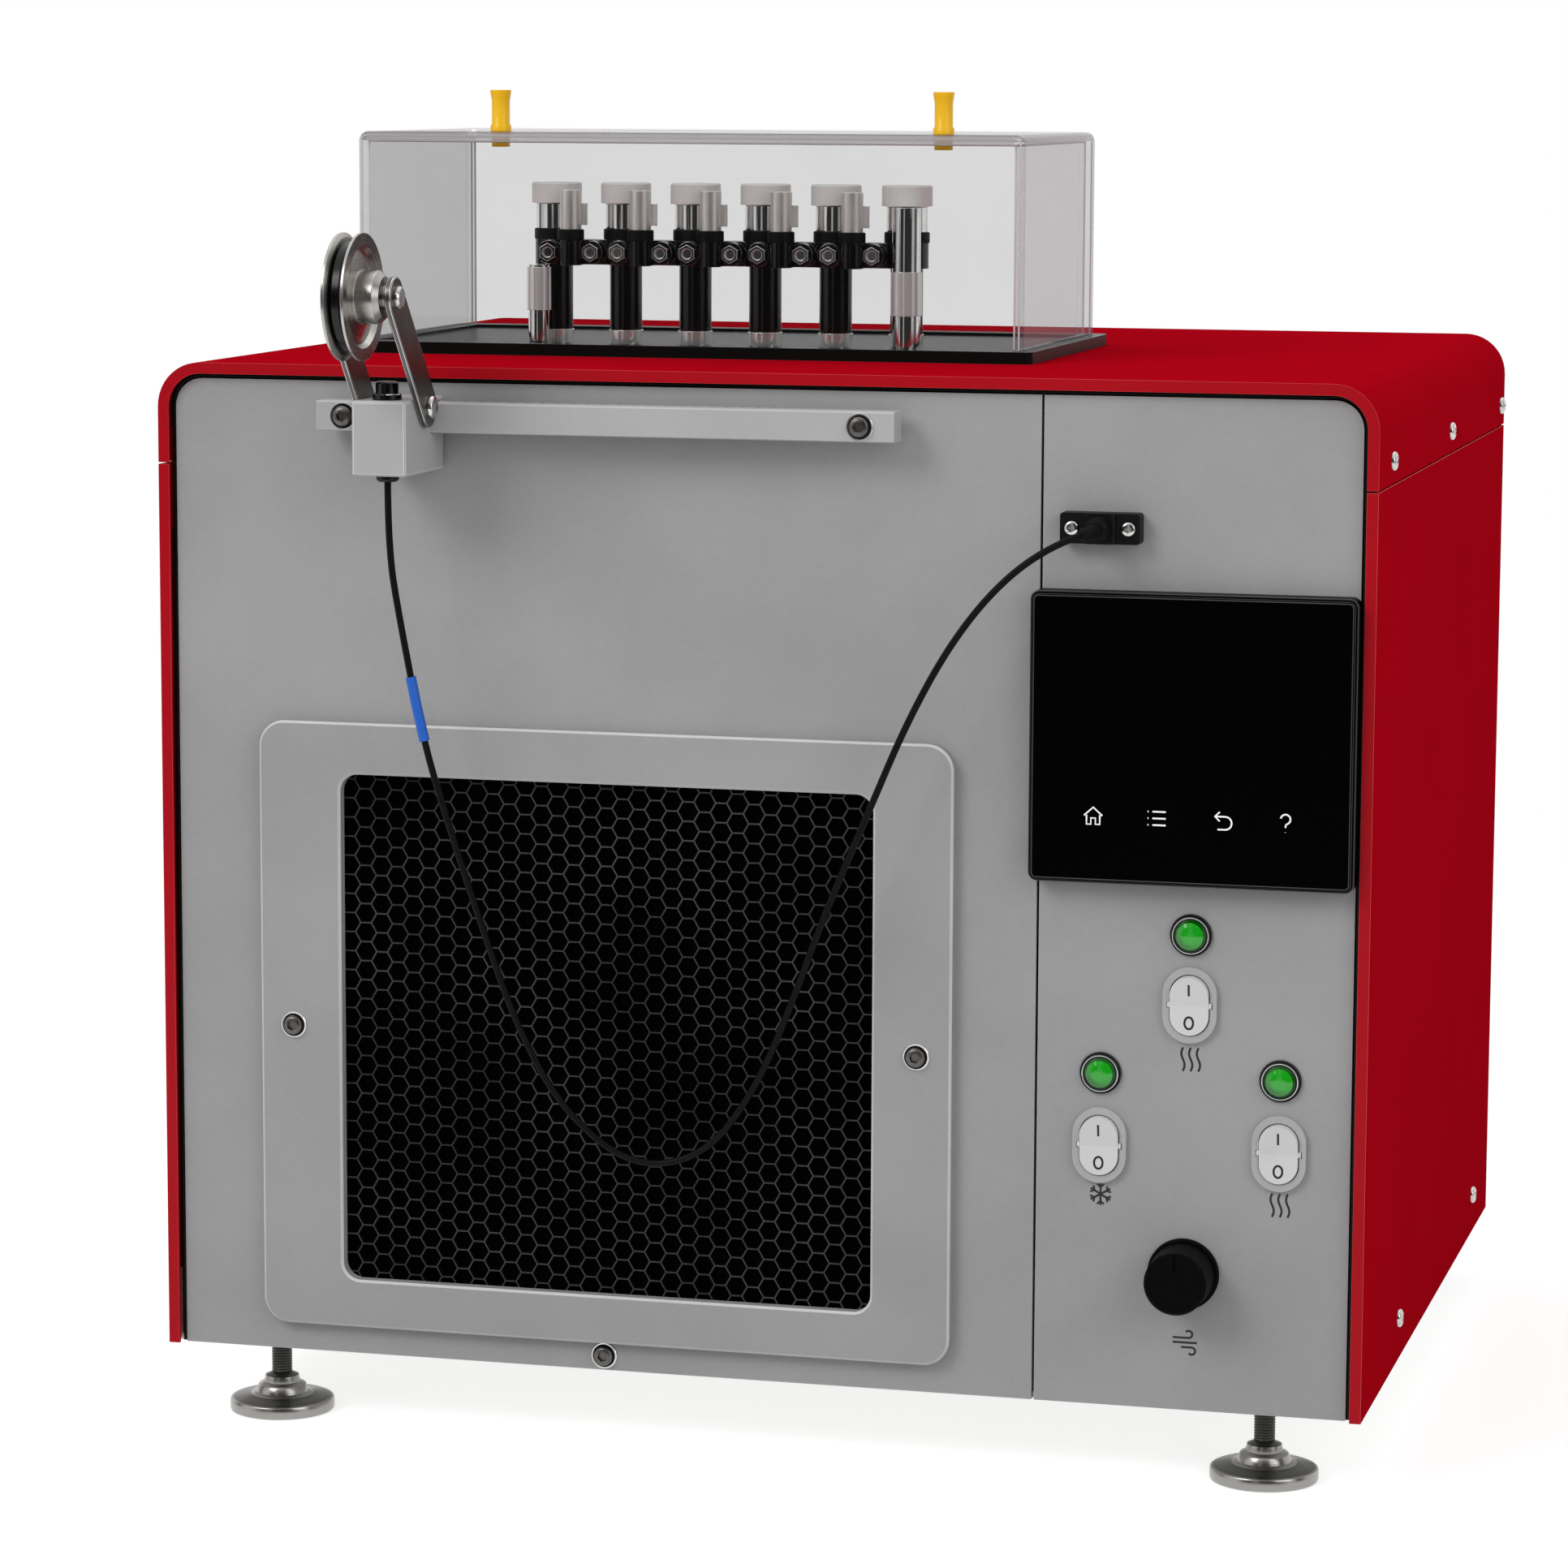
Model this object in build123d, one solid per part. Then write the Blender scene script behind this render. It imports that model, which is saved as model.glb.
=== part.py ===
from build123d import *
import math
import os

# Bench rotational viscometer with six cells. Millimetres.
# Sizes are measured from the case's lower left front corner: x to the right, y into the
# depth, z up. place() turns them into the part's own frame, whose origin is on the floor
# under the middle of the whole instrument.

# ---------------------------------------------------------------- clearances
running_gap = 0.3
shaft_clearance = 0.1
fit_clearance = 0.3

# ---------------------------------------------------------------- case
case_width = 550.0
case_depth = 450.0
case_height = 450.0
foot_height = 34.0
sheet = 2.0
corner_radius = 20.0
cover_skirt = 45.0
cover_seam = 0.8
lip_width = 5.0
panel_gap = 2.2
panel_recess = 4.0
panel_thickness = 3.0
panel_corner_radius = 12.6
panel_seam = 1.2
control_panel_width = 138.7
rear_panel_thickness = 3.0
joggle_height = 30.0
joggle_thickness = 1.5
joggle_inset = 10.0
base_thickness = 3.0
base_flange_height = 34.0
vent_slot_length = 60.0
vent_slot_width = 5.0
vent_slot_pitch = 14.0
vent_rows = 8
vent_columns = 4
vent_column_pitch = 84.0
vent_centre_z = 250.0

# ---------------------------------------------------------------- screws
case_screw_head_radius = 4.2
case_screw_head_height = 2.4
case_screw_radius = 2.0
case_screw_length = 6.0
cover_screw_front_inset = 41.0
cover_screw_rear_inset = 16.0
cover_screw_rise = 10.0
base_screw_front_inset = 116.0
base_screw_rear_inset = 64.0
base_screw_z = 20.0
front_screw_radius = 2.5
front_screw_head_radius = 4.4
front_screw_head_height = 2.6
front_washer_radius = 6.0
front_washer_thickness = 0.8
hex_socket_radius = 2.3
hex_socket_depth = 1.6

# ---------------------------------------------------------------- intake grille
grille_left = 47.2
grille_bottom = 13.5
grille_right_gap = 36.7
grille_height = 276.9
grille_thickness = 6.0
grille_corner_radius = 12.0
grille_edge_chamfer = 1.0
window_left_margin = 38.3
window_right_margin = 35.9
window_bottom_margin = 22.0
window_top_margin = 23.4
window_corner_radius = 8.0
grille_screw_margin = 15.7
honeycomb_border = 4.5
honeycomb_depth = 5.0
honeycomb_pitch = 17.4
honeycomb_wall = 1.5
filter_depth = 12.0

# ---------------------------------------------------------------- fan
fan_size = 220.0
fan_depth = 40.0
fan_bore_radius = 104.0
fan_hub_radius = 32.0
fan_rotor_depth = 24.0
fan_blade_count = 7
fan_blade_tip_gap = 2.5
fan_blade_chord = 44.0
fan_blade_thickness = 2.4
fan_root_pitch = 48.0
fan_tip_pitch = 24.0
fan_shaft_radius = 4.0
fan_strut_width = 9.0
fan_strut_depth = 6.0
fan_foot_width = 40.0

# ---------------------------------------------------------------- rail and carriage
rail_left = 81.0
rail_right_gap = 61.1
rail_below_top = 28.0
rail_height = 13.3
rail_depth = 14.0
rail_chamfer = 0.6
rail_stand_off = 6.0
rail_screw_left_inset = 12.5
rail_screw_right_inset = 15.1
rail_notch_pitch = 7.0
rail_notch_width = 2.6
rail_notch_depth = 1.0
rail_notch_reach = 3.0
rail_notch_start = 22.0
rail_notch_end = 48.0
spacer_radius = 5.0
carriage_left = 109.5
carriage_width = 24.6
carriage_height = 32.7
carriage_front = 35.0
carriage_roof = 2.4
carriage_back_gap = 2.0
carriage_chamfer = 0.8

# ---------------------------------------------------------------- fork and pulley
arm_pivot_ahead = 10.0
arm_pivot_drop = 3.7
arm_length = 66.2
arm_lean = 41.7
arm_width = 18.0
arm_thickness = 3.0
arm_edge_chamfer = 0.5
arm_gap = 0.2
pivot_screw_radius = 2.5
pivot_screw_depth = 8.0
pivot_head_radius = 5.0
pivot_head_height = 2.6
axle_radius = 3.0
axle_head_radius = 5.0
axle_head_height = 2.4
pulley_radius = 27.5
pulley_rim_width = 10.0
pulley_groove_depth = 4.0
pulley_flange_width = 2.0
pulley_web_width = 5.0
pulley_rim_depth = 7.0
pulley_hub_radius = 11.5
pulley_hub_chamfer = 2.5
pulley_left_gap = 3.0
sensor_radius = 5.0
sensor_ahead = 22.7
sensor_above_block = 8.0
sensor_below_block = 3.0
sensor_collar_radius = 6.4
sensor_collar_height = 2.2

# ---------------------------------------------------------------- signal connector and cable
connector_right_inset = 101.3
connector_bottom = 379.8
connector_width = 35.1
connector_height = 13.4
connector_proud = 8.0
connector_raise = 1.6
connector_raise_width = 12.4
connector_screw_inset = 5.2
connector_screw_radius = 1.5
connector_screw_head_radius = 3.2
connector_screw_head_height = 1.4
plug_radius = 5.35
plug_length = 9.0
plug_rib_depth = 0.7
plug_rib_width = 1.2
plug_spigot_radius = 4.0
plug_spigot_length = 6.0
boot_radius = 2.8
boot_bend_radius = 7.0
boot_bend_angle = 72.5
boot_droop_angle = 19.6
cable_radius = 1.5
sleeve_radius = 2.3
sleeve_length = 32.0
sleeve_clearance = 0.35
runs_above_sleeve_count = 2
cable_straight_drop = 29.0
cable_lead_in = 14.0
# Hanging shape between its two straight ends: share of the way along x, distance in front
# of the line between both ends, and drop below it.
cable_shape = (
    (0.0158, -0.2, 59.7), (0.0505, -0.6, 114.1), (0.0925, -1.3, 155.4),
    (0.1359, -1.9, 194.7), (0.1844, -2.3, 235.8), (0.2517, -2.3, 271.7),
    (0.3551, -1.7, 294.4), (0.4617, -1.1, 286.6), (0.5372, -0.5, 254.8),
    (0.5907, -0.2, 214.9), (0.6399, 0.0, 172.0), (0.7013, 0.5, 127.0),
    (0.7554, 1.1, 86.6), (0.8178, 2.1, 50.5), (0.8867, 3.7, 23.0),
)

# ---------------------------------------------------------------- display
display_right_inset = 6.5
display_bottom = 233.2
display_width = 142.0
display_height = 126.4
display_proud = 12.0
display_corner_radius = 4.0
display_glass_thickness = 2.0
display_bezel = 1.2
display_body_inset = 8.0
display_body_depth = 22.0

# ---------------------------------------------------------------- lamps, switches, knob
lamp_insets = ((78.0, 210.8), (117.0, 148.3), (38.0, 148.7))
lamp_bezel_radius = 9.25
lamp_bezel_height = 2.6
lamp_lens_radius = 6.9
lamp_dome_height = 2.6
lamp_body_radius = 8.0
lamp_body_depth = 20.0
switch_insets = {
    "main_rocker": (78.0, 180.2),
    "cooling_rocker": (117.0, 116.4),
    "heating_rocker": (38.0, 116.9),
}
switch_bezel_width = 23.8
switch_bezel_height = 33.5
switch_bezel_proud = 2.4
switch_body_width = 21.0
switch_body_height = 30.3
switch_body_depth = 16.0
rocker_width = 17.0
rocker_height = 26.3
rocker_gap = 0.4
rocker_pivot_behind = 0.6
rocker_crown = 1.6
rocker_back = 6.0
rocker_half_angle = 5.0
rocker_pin_radius = 1.4
rocker_pin_length = 1.2
knob_right_inset = 79.2
knob_z = 61.1
knob_skirt_radius = 15.75
knob_skirt_height = 3.0
knob_body_radius = 14.3
knob_front_radius = 13.7
knob_height = 23.0
knob_edge = 1.2
knob_shaft_radius = 3.0
knob_shaft_length = 14.0
knob_pointer_width = 1.4
knob_pointer_depth = 0.7

# ---------------------------------------------------------------- cell tray and cover
cover_left = 57.6
cover_front = 107.0
cover_width = 315.2
cover_depth = 168.0
cover_wall = 5.0
cover_height = 96.5
cover_edge_radius = 4.5
tray_margin = 5.6
tray_height = 5.5
tray_corner_radius = 4.0
tray_recess = 1.5
tray_ledge = 1.5
port_spacing = 209.4
port_left_inset = 66.2
port_behind_front = 12.0
port_waist_radius = 4.2
port_rim_radius = 4.9
port_bore_radius = 3.2
port_above = 19.0
port_below = 2.0
port_flange_height = 3.5
port_lip_height = 5.0
port_edge = 0.6

# ---------------------------------------------------------------- cells
cell_count = 6
cell_first_x = 145.6
cell_pitch = 33.4
cell_y = 136.0
cell_ring_height = 7.0
cell_ring_radius = 8.0
cell_tube_radius = 7.5
clamp_bottom = 37.0
clamp_height = 11.5
clamp_ring_radius = 10.0
clamp_bar_depth = 12.0
clamp_bar_end = 8.0
boot_ring_height = 5.0
boot_ring_radius = 10.4
upper_tube_radius = 9.5
upper_tube_top = 65.0
cap_radius = 11.6
cap_height = 9.4
cap_edge = 0.6
spindle_radius = 2.4
spindle_bore_radius = 3.2
rotor_radius = 7.2
rotor_height = 36.0
rotor_taper = 2.0
well_radius = 8.6
well_depth = 48.0
side_tube_offset_x = 11.5
side_tube_offset_y = 16.0
side_tube_radius = 5.0
side_tube_top = 71.5
side_boot_radius = 6.2
flag_width = 3.0
flag_thickness = 1.2
flag_height = 10.0
flag_drop = 6.0
fitting_left_offset = 13.0
fitting_boss_radius = 5.4
fitting_boss_reach = 6.5
fitting_across = 4.3
fitting_length = 2.6
fitting_socket_radius = 2.3
fitting_socket_depth = 1.8
guide_tube_radii = (5.0, 6.5)
guide_tube_offsets_x = (-4.8, 3.6)
guide_tube_gap = 0.4
sleeve_band_low = 16.0
sleeve_band_height = 20.0
sleeve_band_thickness = 0.6
sleeve_band_clearance = 0.05
block_margin_x = 22.0
block_margin_y = 22.0
block_height = 58.0
block_opening_margin = 11.0
jacket_wall = 12.0

# ---------------------------------------------------------------- power inlet
inlet_right_inset = 110.0
inlet_z = 52.0
inlet_flange_width = 50.0
inlet_flange_height = 26.0
inlet_body_width = 30.0
inlet_body_height = 22.0
inlet_body_depth = 24.0
inlet_wall = 2.6
inlet_socket_depth = 17.0
inlet_pin_spacing = 14.0
inlet_pin_thickness = 2.0
inlet_pin_width = 4.0
inlet_pin_length = 14.0
inlet_earth_rise = 4.0

# ---------------------------------------------------------------- levelling feet
foot_inset_x = 45.7
foot_inset_y = 25.0
foot_pad_radius = 24.0
foot_pad_height = 6.0
foot_stud_radius = 4.8
foot_stud_engagement = 14.0
foot_boss_radius = 11.0
foot_boss_height = 12.0
foot_collar_steps = ((12.0, 2.5), (11.0, 5.5), (8.2, 7.0), (7.7, 10.0))
foot_collar_height = 11.5

# ---------------------------------------------------------------- derived places
skirt_bottom = case_height - cover_skirt
cover_screw_front = cover_screw_front_inset
cover_screw_rear = case_depth - cover_screw_rear_inset
cover_screw_y = (cover_screw_front, (cover_screw_front + cover_screw_rear) / 2, cover_screw_rear)
cover_screw_z = skirt_bottom + cover_screw_rise
base_screw_y = (base_screw_front_inset, case_depth - base_screw_rear_inset)
panel_left = lip_width + panel_gap
panel_right = case_width - panel_left
panel_top = case_height - panel_left
panel_back = panel_recess + panel_thickness
seam_x = panel_right - control_panel_width
grille_width = seam_x - grille_right_gap - grille_left
window_width = grille_width - window_left_margin - window_right_margin
window_height = grille_height - window_bottom_margin - window_top_margin
lower_screw_x = grille_left + grille_width / 2
lower_screw_z = grille_bottom / 2
rail_length = seam_x - rail_right_gap - rail_left
rail_bottom = case_height - rail_below_top
connector_left = case_width - connector_right_inset - connector_width
display_left = case_width - display_right_inset - display_width
lamp_places = [(case_width - inset, z) for inset, z in lamp_insets]
switch_places = {name: (case_width - inset, z) for name, (inset, z) in switch_insets.items()}
knob_x = case_width - knob_right_inset
inlet_x = case_width - inlet_right_inset
rail_back = panel_recess - rail_stand_off
rail_front = rail_back - rail_depth
rail_top = rail_bottom + rail_height
carriage_top = rail_top + carriage_roof
carriage_bottom = carriage_top - carriage_height
carriage_right = carriage_left + carriage_width
pivot_y = rail_front - arm_pivot_ahead
pivot_z = carriage_top - arm_pivot_drop
axle_y = pivot_y - arm_length * math.sin(math.radians(arm_lean))
axle_z = pivot_z + arm_length * math.cos(math.radians(arm_lean))
sensor_x = carriage_left + carriage_width / 2
sensor_y = rail_front - sensor_ahead
front_reach = pulley_radius - axle_y
case_left = -case_width / 2
case_front = (front_reach - case_depth) / 2
rear_panel_back = case_depth - sheet
rear_panel_front = rear_panel_back - rear_panel_thickness
grille_front = panel_recess - grille_thickness
window_left = grille_left + window_left_margin
window_bottom = grille_bottom + window_bottom_margin
window_x = (window_left, window_left + window_width)
window_z = (window_bottom, window_bottom + window_height)
honeycomb_back = panel_recess + honeycomb_depth
filter_back = honeycomb_back + filter_depth
tray_top = case_height + tray_height
tray_floor = tray_top - tray_recess
cell_places = [cell_first_x + index * cell_pitch for index in range(cell_count)]
clamp_z = (tray_floor + clamp_bottom, tray_floor + clamp_bottom + clamp_height)
upper_top_z = tray_floor + upper_tube_top


# ---------------------------------------------------------------- building blocks
def middle(span):
    """Middle of a (low, high) pair."""
    return (span[0] + span[1]) / 2


def around(centre, half):
    """The (low, high) pair that reaches half to each side of a centre."""
    return (centre - half, centre + half)


def place(x, y, z):
    """Move a shape from the case's corner frame to the part's frame."""
    return Pos(case_left + x, case_front + y, foot_height + z)


def block(x, y, z):
    """Box between three (low, high) pairs."""
    size = (x[1] - x[0], y[1] - y[0], z[1] - z[0])
    return place(middle(x), middle(y), middle(z)) * Box(*size)


def rod_x(radius, x, y, z):
    """Round bar along x between the (low, high) pair x."""
    return place(middle(x), y, z) * Rot(0, 90, 0) * Cylinder(radius, x[1] - x[0])


def rod_y(radius, x, y, z):
    """Round bar along y between the (low, high) pair y."""
    return place(x, middle(y), z) * Rot(90, 0, 0) * Cylinder(radius, y[1] - y[0])


def rod_z(radius, x, y, z):
    """Round bar along z between the (low, high) pair z."""
    return place(x, y, middle(z)) * Cylinder(radius, z[1] - z[0])


def turned(profile):
    """Solid of revolution about Z from (radius, height) points."""
    outline = Polyline(*[(radius, 0, height) for radius, height in profile], close=True)
    return revolve(make_face(outline), Axis.Z)


def facing_front(shape):
    """Turn a shape's Z axis to the front of the case."""
    return Rot(90, 0, 0) * shape


def upright(sketch, y):
    """Extrude a sketch drawn in (x, z) between the (low, high) pair y."""
    return place(0, y[1], 0) * facing_front(extrude(sketch, y[1] - y[0]))


def level(sketch, z):
    """Extrude a sketch drawn in (x, y) between the (low, high) pair z."""
    return place(0, 0, z[0]) * extrude(sketch, z[1] - z[0])


def rectangle(u, v, radius=0.0):
    """Rectangle sketch between two (low, high) pairs, with rounded corners if asked."""
    width = u[1] - u[0]
    height = v[1] - v[0]
    shape = RectangleRounded(width, height, radius) if radius else Rectangle(width, height)
    return Pos(middle(u), middle(v)) * shape


def oval(width, height):
    """Upright slot sketch: straight sides and round ends."""
    return Rot(0, 0, 90) * SlotOverall(height, width)


def group(shapes):
    """Several separate solids as one node."""
    return Compound(children=[solid for shape in shapes for solid in shape.solids()])


# ---------------------------------------------------------------- case
def hood_outline(inset):
    """Front outline of the top cover, drawn inset from its outer face."""
    radius = corner_radius - inset
    u = (inset, case_width - inset)
    top = case_height - inset
    rounded = rectangle(u, (2 * skirt_bottom - top, top), radius)
    return rounded & rectangle((0, case_width), (skirt_bottom, case_height))


def screw_holes(y_places, z):
    """Through holes in both side walls."""
    reach = lip_width + joggle_thickness
    holes = []
    for y in y_places:
        for x in ((-1.0, reach), (case_width - reach, case_width + 1.0)):
            holes.append(rod_x(case_screw_radius + shaft_clearance, x, y, z))
    return holes


def make_top_cover():
    """Bent sheet hood with folded lips at front and rear, open over the cell block."""
    cover = upright(hood_outline(0) - hood_outline(sheet), (0, case_depth))
    lip = hood_outline(0) - hood_outline(lip_width)
    cover += upright(lip, (0, sheet))
    cover += upright(lip, (case_depth - sheet, case_depth))
    opening = block(
        (cell_places[0] - block_opening_margin, cell_places[-1] + block_opening_margin),
        around(cell_y, block_opening_margin),
        (case_height - 2 * sheet, case_height + 1),
    )
    cover -= opening
    for hole in screw_holes(cover_screw_y, cover_screw_z):
        cover -= hole
    return cover


def make_side_panel(left):
    """Side wall with folded lips and the stepped flange that the hood screws to."""
    wall_top = skirt_bottom - cover_seam
    outline = rectangle((0, sheet), (0, case_depth))
    outline += rectangle((0, lip_width), (0, sheet))
    outline += rectangle((0, lip_width), (case_depth - sheet, case_depth))
    panel = level(outline, (0, wall_top))
    panel += block(
        (sheet, sheet + joggle_thickness),
        (joggle_inset, case_depth - joggle_inset),
        (wall_top - joggle_height, skirt_bottom + joggle_height / 2),
    )
    if not left:
        panel = mirror(panel, Plane.YZ)
    for y_places, z in ((cover_screw_y, cover_screw_z), (base_screw_y, base_screw_z)):
        for hole in screw_holes(y_places, z):
            panel -= hole
    return panel


def foot_places():
    """Centres of the four levelling feet, with the name of each corner."""
    xs = {"left": foot_inset_x, "right": case_width - foot_inset_x}
    ys = {"front": foot_inset_y, "rear": case_depth - foot_inset_y}
    return {f"{end}_{side}": (xs[side], ys[end]) for end in ys for side in xs}


def make_base_plate():
    """Floor of the case with upturned sides and a threaded boss for each foot."""
    x = (sheet, case_width - sheet)
    y = (panel_back, rear_panel_front)
    plate = block(x, y, (0, base_thickness))
    for side in ((x[0], x[0] + sheet), (x[1] - sheet, x[1])):
        plate += block(side, y, (0, base_flange_height))
    for foot_x, foot_y in foot_places().values():
        boss = (base_thickness, base_thickness + foot_boss_height)
        plate += rod_z(foot_boss_radius, foot_x, foot_y, boss)
    for foot_x, foot_y in foot_places().values():
        bore = foot_stud_radius + shaft_clearance
        plate -= rod_z(bore, foot_x, foot_y, (-1, base_thickness + foot_boss_height + 1))
    for hole in screw_holes(base_screw_y, base_screw_z):
        plate -= hole
    return plate


def make_rear_panel():
    """Rear sheet behind the lips, with rows of vent slots and the inlet cut-out."""
    x = (sheet + fit_clearance, case_width - sheet - fit_clearance)
    top = case_height - sheet - fit_clearance
    radius = corner_radius - sheet
    sketch = rectangle(x, (-top, top), radius) & rectangle(x, (0, top))
    sketch -= Pos(inlet_x, inlet_z) * Rectangle(
        inlet_body_width + 2 * fit_clearance, inlet_body_height + 2 * fit_clearance
    )
    vents = GridLocations(vent_column_pitch, vent_slot_pitch, vent_columns, vent_rows)
    for vent in vents:
        slot = vent * Rectangle(vent_slot_length, vent_slot_width)
        sketch -= Pos(case_width / 2, vent_centre_z) * slot
    return upright(sketch, (rear_panel_front, rear_panel_back))


def case_screw():
    """Pan-head screw with its axis on Z and its seat at zero height."""
    crown = case_screw_head_radius * 0.55
    profile = (
        (0, -case_screw_length), (case_screw_radius, -case_screw_length),
        (case_screw_radius, 0), (case_screw_head_radius, 0),
        (case_screw_head_radius, case_screw_head_height * 0.4),
        (crown, case_screw_head_height), (0, case_screw_head_height),
    )
    return turned(profile)


def make_case_screws():
    """Screws of the hood and of the side panels, both sides."""
    screws = []
    for y_places, z in ((cover_screw_y, cover_screw_z), (base_screw_y, base_screw_z)):
        for y in y_places:
            screws.append(place(0, y, z) * Rot(0, -90, 0) * case_screw())
            screws.append(place(case_width, y, z) * Rot(0, 90, 0) * case_screw())
    return group(screws)


# ---------------------------------------------------------------- front panels
def make_left_front_panel():
    """Panel that carries the rail and the intake grille."""
    sketch = rectangle((panel_left, seam_x - panel_seam / 2), (0, panel_top))
    corner = sketch.vertices().group_by(Axis.Y)[-1].sort_by(Axis.X)[0]
    sketch = fillet(corner, panel_corner_radius)
    border = honeycomb_border + fit_clearance
    sketch -= rectangle(
        (window_x[0] - border, window_x[1] + border), (window_z[0] - border, window_z[1] + border)
    )
    hole = Circle(front_screw_radius + shaft_clearance)
    for x, z in rail_screw_places() + grille_screw_places() + [(lower_screw_x, lower_screw_z)]:
        sketch -= Pos(x, z) * hole
    return upright(sketch, (panel_recess, panel_back))


def make_right_front_panel():
    """Control panel with the cut-outs of everything fitted to it."""
    sketch = rectangle((seam_x + panel_seam / 2, panel_right), (0, panel_top))
    corner = sketch.vertices().group_by(Axis.Y)[-1].sort_by(Axis.X)[-1]
    sketch = fillet(corner, panel_corner_radius)
    body_x, body_z = display_body_span(fit_clearance)
    sketch -= rectangle(body_x, body_z)
    for x, z in lamp_places:
        sketch -= Pos(x, z) * Circle(lamp_body_radius + fit_clearance)
    for x, z in switch_places.values():
        width = switch_body_width + 2 * fit_clearance
        sketch -= Pos(x, z) * oval(width, switch_body_height + 2 * fit_clearance)
    for x, z in connector_screw_places():
        sketch -= Pos(x, z) * Circle(connector_screw_radius + shaft_clearance)
    sketch -= Pos(knob_x, knob_z) * Circle(knob_shaft_radius + shaft_clearance)
    return upright(sketch, (panel_recess, panel_back))


# ---------------------------------------------------------------- intake grille
def grille_screw_places():
    """Centres of the two screws of the grille frame, at half its height."""
    z = grille_bottom + grille_height / 2
    right = grille_left + grille_width - grille_screw_margin
    return [(grille_left + grille_screw_margin, z), (right, z)]


def make_grille_frame():
    """Raised frame with a rounded window and bevelled front edges."""
    outer = rectangle(
        (grille_left, grille_left + grille_width),
        (grille_bottom, grille_bottom + grille_height),
        grille_corner_radius,
    )
    window = rectangle(window_x, window_z, window_corner_radius)
    frame = upright(outer - window, (grille_front, panel_recess))
    front_face = frame.faces().sort_by(Axis.Y)[0]
    frame = chamfer(front_face.edges(), grille_edge_chamfer)
    for x, z in grille_screw_places():
        reach = (grille_front - 1, panel_recess + 1)
        frame -= rod_y(front_screw_radius + shaft_clearance, x, reach, z)
    return frame


def make_honeycomb():
    """Sheet of six-sided cells with flat tops, cut from one sketch."""
    side = honeycomb_pitch / math.sqrt(3)
    cell_radius = (honeycomb_pitch - honeycomb_wall) / math.sqrt(3)
    columns = int((window_width - 2 * side) / (1.5 * side)) + 1
    rows = int(window_height / honeycomb_pitch)
    start_x = middle(window_x) - (columns - 1) * 0.75 * side
    start_z = middle(window_z) - (rows - 1) * honeycomb_pitch / 2
    border = honeycomb_border
    outline = rectangle(
        (window_x[0] - border, window_x[1] + border), (window_z[0] - border, window_z[1] + border)
    )
    cells = []
    for column in range(columns):
        lowered = column % 2
        for row in range(rows - lowered):
            x = start_x + column * 1.5 * side
            z = start_z + (row + lowered / 2) * honeycomb_pitch
            cells.append((Pos(x, z) * RegularPolygon(cell_radius, 6)).wires()[0])
    mesh_face = Face(outline.wires()[0], cells)
    return upright(mesh_face, (panel_recess, honeycomb_back))


def make_air_filter():
    """Foam pad pressed against the back of the honeycomb."""
    border = honeycomb_border
    return block(
        (window_x[0] - border, window_x[1] + border),
        (honeycomb_back, filter_back),
        (window_z[0] - border, window_z[1] + border),
    )


def front_screw(length):
    """Button-head socket screw on a washer: axis on Z, seat at zero height."""
    seat = front_washer_thickness
    profile = (
        (0, -length), (front_screw_radius, -length), (front_screw_radius, 0),
        (front_washer_radius, 0), (front_washer_radius, seat),
        (front_screw_head_radius, seat),
        (front_screw_head_radius, seat + front_screw_head_height * 0.6),
        (front_screw_head_radius * 0.75, seat + front_screw_head_height),
        (0, seat + front_screw_head_height),
    )
    top = seat + front_screw_head_height
    socket = extrude(RegularPolygon(hex_socket_radius, 6), hex_socket_depth)
    return turned(profile) - Pos(0, 0, top - hex_socket_depth) * socket


def connector_screw():
    """Small screw of the signal connector."""
    length = connector_proud + panel_thickness
    profile = (
        (0, -length), (connector_screw_radius, -length), (connector_screw_radius, 0),
        (connector_screw_head_radius, 0),
        (connector_screw_head_radius, connector_screw_head_height * 0.5),
        (connector_screw_head_radius * 0.7, connector_screw_head_height),
        (0, connector_screw_head_height),
    )
    return turned(profile)


def make_front_screws():
    """Every screw of the front: rail, grille frame, lower panel and connector."""
    screws = []
    for x, z in rail_screw_places():
        length = rail_depth + rail_stand_off + panel_thickness
        screws.append(place(x, rail_front, z) * facing_front(front_screw(length)))
    for x, z in grille_screw_places():
        length = grille_thickness + panel_thickness
        screws.append(place(x, grille_front, z) * facing_front(front_screw(length)))
    lower = front_screw(panel_thickness)
    screws.append(place(lower_screw_x, panel_recess, lower_screw_z) * facing_front(lower))
    for x, z in connector_screw_places():
        seat = panel_recess - connector_proud
        screws.append(place(x, seat, z) * facing_front(connector_screw()))
    return group(screws)


# ---------------------------------------------------------------- fan
def fan_centre():
    """Centre of the fan behind the window."""
    return middle(window_x), middle(window_z)


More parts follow.
